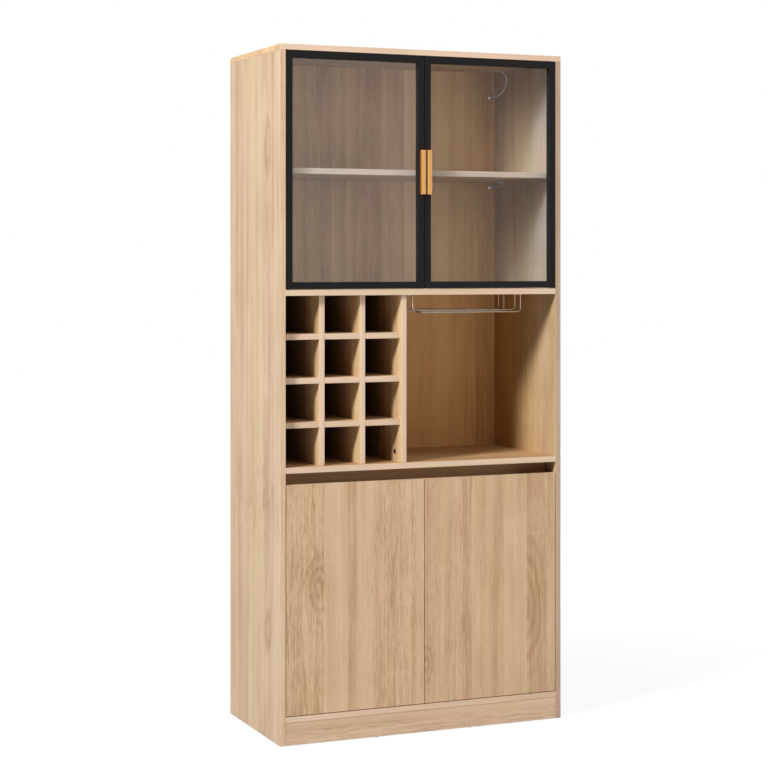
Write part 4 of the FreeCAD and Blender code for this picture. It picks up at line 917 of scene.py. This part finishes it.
bolt = lathe([(0, 0), (0.6 * BOLT_RADIUS, 0), (BOLT_RADIUS, 0.5 * BOLT_RADIUS), (BOLT_RADIUS, BOLT_RADIUS),
              (0.5 * BOLT_RADIUS, 2 * BOLT_RADIUS), (0.5 * BOLT_RADIUS, 8 * MM), (BOLT_RADIUS, 8.4 * MM),
              (BOLT_RADIUS, SHANK_END), (BOLT_RADIUS - THREAD_DEPTH, SHANK_END + 0.5 * MM),
              (BOLT_RADIUS - THREAD_DEPTH, BOLT_LENGTH), (0, BOLT_LENGTH)], 20)
add_thread(bolt, BOLT_RADIUS, THREAD_START, BOLT_LENGTH - 1.6 * MM, 20)
bolts = []
for solid in solids_of("cam_bolts"):
    # The ball head is at the end that a cam holds
    long_axis = solid["axis"]
    ends = [solid["middle"].copy(), solid["middle"].copy()]
    for end, corner in zip(ends, (solid["low"], solid["high"])):
        end[long_axis] = corner[long_axis]
    gaps = [min((end - place).length for place, _ in cams) for end in ends]
    low_first = gaps[0] < gaps[1]
    bolts.append((ends[0 if low_first else 1], unit(long_axis, 1 if low_first else -1)))
repeat("cam_bolts_made", to_mesh("bolt", bolt), bolts, zinc, node="cam_bolts")

# Dowels: turned beech across the joints of the boards. They are fluted so that glue can escape, and their
# ends are bevelled.
DOWEL_RADIUS, DOWEL_LENGTH, DOWEL_BEVEL = 4 * MM, 30 * MM, 1 * MM
FLUTE_EDGES, FLUTE_SHARE = 48, 0.93
beech = oak("beech", "x", "y", (0, 0), 0.1, 0.2)
dowel = lathe([(0, 0), (DOWEL_RADIUS - DOWEL_BEVEL, 0), (DOWEL_RADIUS, DOWEL_BEVEL),
               (DOWEL_RADIUS, DOWEL_LENGTH - DOWEL_BEVEL), (DOWEL_RADIUS - DOWEL_BEVEL, DOWEL_LENGTH),
               (0, DOWEL_LENGTH)], FLUTE_EDGES)
for vertex in dowel.verts:
    flute = round(math.atan2(vertex.co.y, vertex.co.x) / math.tau * FLUTE_EDGES) % 2
    if flute and vertex.co.xy.length > DOWEL_RADIUS / 2:
        vertex.co.xy *= FLUTE_SHARE
repeat("dowels_made", to_mesh("dowel", dowel), from_wide_end("dowels"), beech, node="dowels",
       smooth_angle=20)

# Shelf pins and pivot pins: turned steel with rounded ends. The two loose shelves lie on theirs, and the
# glass doors and the hinges turn on theirs.
for node, radius, length in (("shelf_pins", 2.5, 16), ("left_glass_door_pivot_pins", 2.5, 25),
                             ("right_glass_door_pivot_pins", 2.5, 25), ("hinge_pins", 1.4, 34.4)):
    radius, length = radius * MM, length * MM
    pin = lathe([(0, 0), (0.75 * radius, 0), (radius, 0.3 * radius), (radius, length - 0.3 * radius),
                 (0.75 * radius, length), (0, length)], 24)
    body = node.removesuffix("_pivot_pins") if "door" in node else "root"
    repeat(node + "_made", to_mesh("pin", pin), from_wide_end(node), zinc, body, node=node)

# Hinges of pressed steel, and bushes, catches and the strip between the back sheets of moulded plastic.
# They keep the shapes of the CAD model, with their edges broken.
black_plastic = coated("black_plastic", (0.02, 0.02, 0.02), 0.55)
brown_plastic = coated("brown_plastic", (0.30, 0.19, 0.11), 0.5)
for node in ("hinge_plates", "hinge_arms"):
    softened(node, zinc)
for side in ("left", "right"):
    softened(side + "_wood_door_hinge_cups", zinc, side + "_wood_door")
for node in ("pivot_bushes", "door_catches"):
    softened(node, black_plastic)
softened("back_joint_strip", brown_plastic)

# Floor glides: pale nylon studs under the side panels and the plinth, each knocked in with the nail in
# its middle.
GLIDE_RADIUS, GLIDE_HEIGHT = 6.5 * MM, 2 * MM
nylon = coated("nylon", (0.75, 0.74, 0.70), 0.45)
glide = lathe([(0, 0), (1.4 * MM, 0), (1.6 * MM, 0.5 * MM), (2 * MM, 0), (0.8 * GLIDE_RADIUS, 0),
               (GLIDE_RADIUS, 0.6 * GLIDE_HEIGHT), (GLIDE_RADIUS, GLIDE_HEIGHT), (0, GLIDE_HEIGHT)])
glides = [(Vector((*solid["middle"].xy, solid["low"].z)), unit(2)) for solid in solids_of("floor_glides")]
repeat("floor_glides_made", to_mesh("glide", glide), glides, nylon, node="floor_glides")

# Stemware rack: two loops of polished chrome wire, bent and welded to plates, which are screwed to the
# underside of the middle board.
chrome = brushed("chrome", (0.46, 0.39, 0.31), 0.25, "x", 0.0)
for node in ("front_stem_loop", "rear_stem_loop"):
    softened(node, chrome, easing=0.15 * MM)

# Light sockets: turned and chromed rings round a sunk stud, set in holes of the back sheet. The leads
# of the lights plug into them.
SOCKET_RADIUS, SOCKET_FRONT, SOCKET_DEPTH = 7.5 * MM, 2.5 * MM, 14.5 * MM
SOCKET_FACE = ((0, 0), (0.8, 0.15), (1.3, 0.5), (1.6, 1.1), (1.7, 1.8), (2.4, 1.8), (2.7, 1.2), (3.9, 0.15),
               (4.3, 0), (4.8, 0.1), (7.0, 0.85), (7.5, 1.3), (7.5, 2.5), (5, 2.5))
bright_chrome = brushed("bright_chrome", (0.95, 0.95, 0.95), 0.1, "x", 0.0)
rosette = lathe([(radius * MM, height * MM) for radius, height in SOCKET_FACE]
                + [(5 * MM, SOCKET_DEPTH), (0, SOCKET_DEPTH)], 40)
sockets = [(Vector((solid["middle"].x, solid["low"].y, solid["middle"].z)), unit(1))
           for solid in solids_of("light_sockets")]
sparkle_targets.objects.link(repeat("light_sockets_made", to_mesh("rosette", rosette), sockets, bright_chrome,
                                    node="light_sockets", turn=0, smooth_angle=50))


# Lights: strips of clear, soft plastic with a row of small lamps inside, stuck to the undersides of the
# ceiling and the shelf.
def clear_plastic(name, color, opacity, roughness):
    """Soft clear plastic, partly see-through."""
    material, tree, shader = new_material(name, {"Roughness": roughness, "Alpha": opacity})
    cloud = noise(tree, object_place(tree), 150, 2.0)
    fill(tree, shader, {"Base Color": mottled(tree, color, cloud, 0.93, 1.05)})
    return material


LAMP_PITCH, LAMP_DEPTH = 16.6 * MM, 0.8 * MM
LAMP_SIZE, LAMP_EASING = (3.5 * MM, 2.8 * MM, 1 * MM), 0.2 * MM
diffuser = clear_plastic("diffuser", (0.80, 0.76, 0.68), 0.07, 0.25)
phosphor = coated("phosphor", (0.80, 0.68, 0.42), 0.4)
for light in ("top", "shelf"):
    low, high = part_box(light + "_light_strip")
    eased(light + "_light_strip", diffuser, easing=0.8 * MM)
    count = int((high.x - low.x) / LAMP_PITCH)
    row = [(Vector((low.x + LAMP_PITCH * (number + 0.5), (low.y + high.y) / 2, high.z - LAMP_DEPTH)),
            unit(2, -1)) for number in range(count)]
    chip = box(LAMP_SIZE, (0, 0, 0.5 * LAMP_SIZE[2]))
    bmesh.ops.bevel(chip, geom=chip.edges[:], offset=LAMP_EASING, segments=1, affect="EDGES")
    repeat(light + "_light_lamps", to_mesh("chip", chip), row, phosphor, turn=0)

# Leads: clear two-core cord from the right-hand end of each strip, round the corner and into the
# socket in the back sheet. Each point of a route is its distance from the side panel, its distance
# from the back sheet and its height over the socket.
LEAD_ROUTES = {
    "top": ((24, 99, 65), (7, 91, 49), (3.5, 79, 27), (5, 57, 8), (6, 32, 0.5), (12, 14, 0)),
    "shelf": ((25, 99, 8.5), (9, 86, 4), (5, 67, 1), (4.5, 44, 0.5), (8, 21, -0.5)),
}
LEAD_RADIUS = 1.25 * MM
SOCKET_INSET = 13 * MM

lead_material = clear_plastic("clear_lead", (0.98, 0.98, 0.97), 0.35, 0.15)
side_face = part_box("right_side_panel")[0].x
back_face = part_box("upper_back_sheet")[0].y
sockets_low, sockets_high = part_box("light_sockets")
socket_levels = {"top": sockets_high.z - SOCKET_RADIUS, "shelf": sockets_low.z + SOCKET_RADIUS}
for light, route in LEAD_ROUTES.items():
    strip_low, strip_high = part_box(light + "_light_strip")
    level = socket_levels[light]
    points = [Vector((strip_high.x, (strip_low.y + strip_high.y) / 2, (strip_low.z + strip_high.z) / 2))]
    points += [Vector((side_face - aside * MM, back_face - ahead * MM, level + above * MM))
               for aside, ahead, above in route]
    points.append(Vector((side_face - SOCKET_INSET, back_face - SOCKET_FRONT, level)))
    curve = bpy.data.curves.new(light + "_lead", "CURVE")
    curve.dimensions = "3D"
    curve.bevel_depth = LEAD_RADIUS
    curve.bevel_resolution = 4
    curve.use_fill_caps = True
    curve.resolution_u = 12
    spline = curve.splines.new("NURBS")
    spline.points.add(len(points) - 1)
    for target, point in zip(spline.points, points):
        target.co = (*point, 1)
    spline.order_u = 3
    spline.use_endpoint_u = True
    curve.materials.append(lead_material)
    lead = add_object(light + "_light_lead", curve)
    sparkle_targets.objects.link(lead)
    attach(lead, "root")
    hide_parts("light_leads")
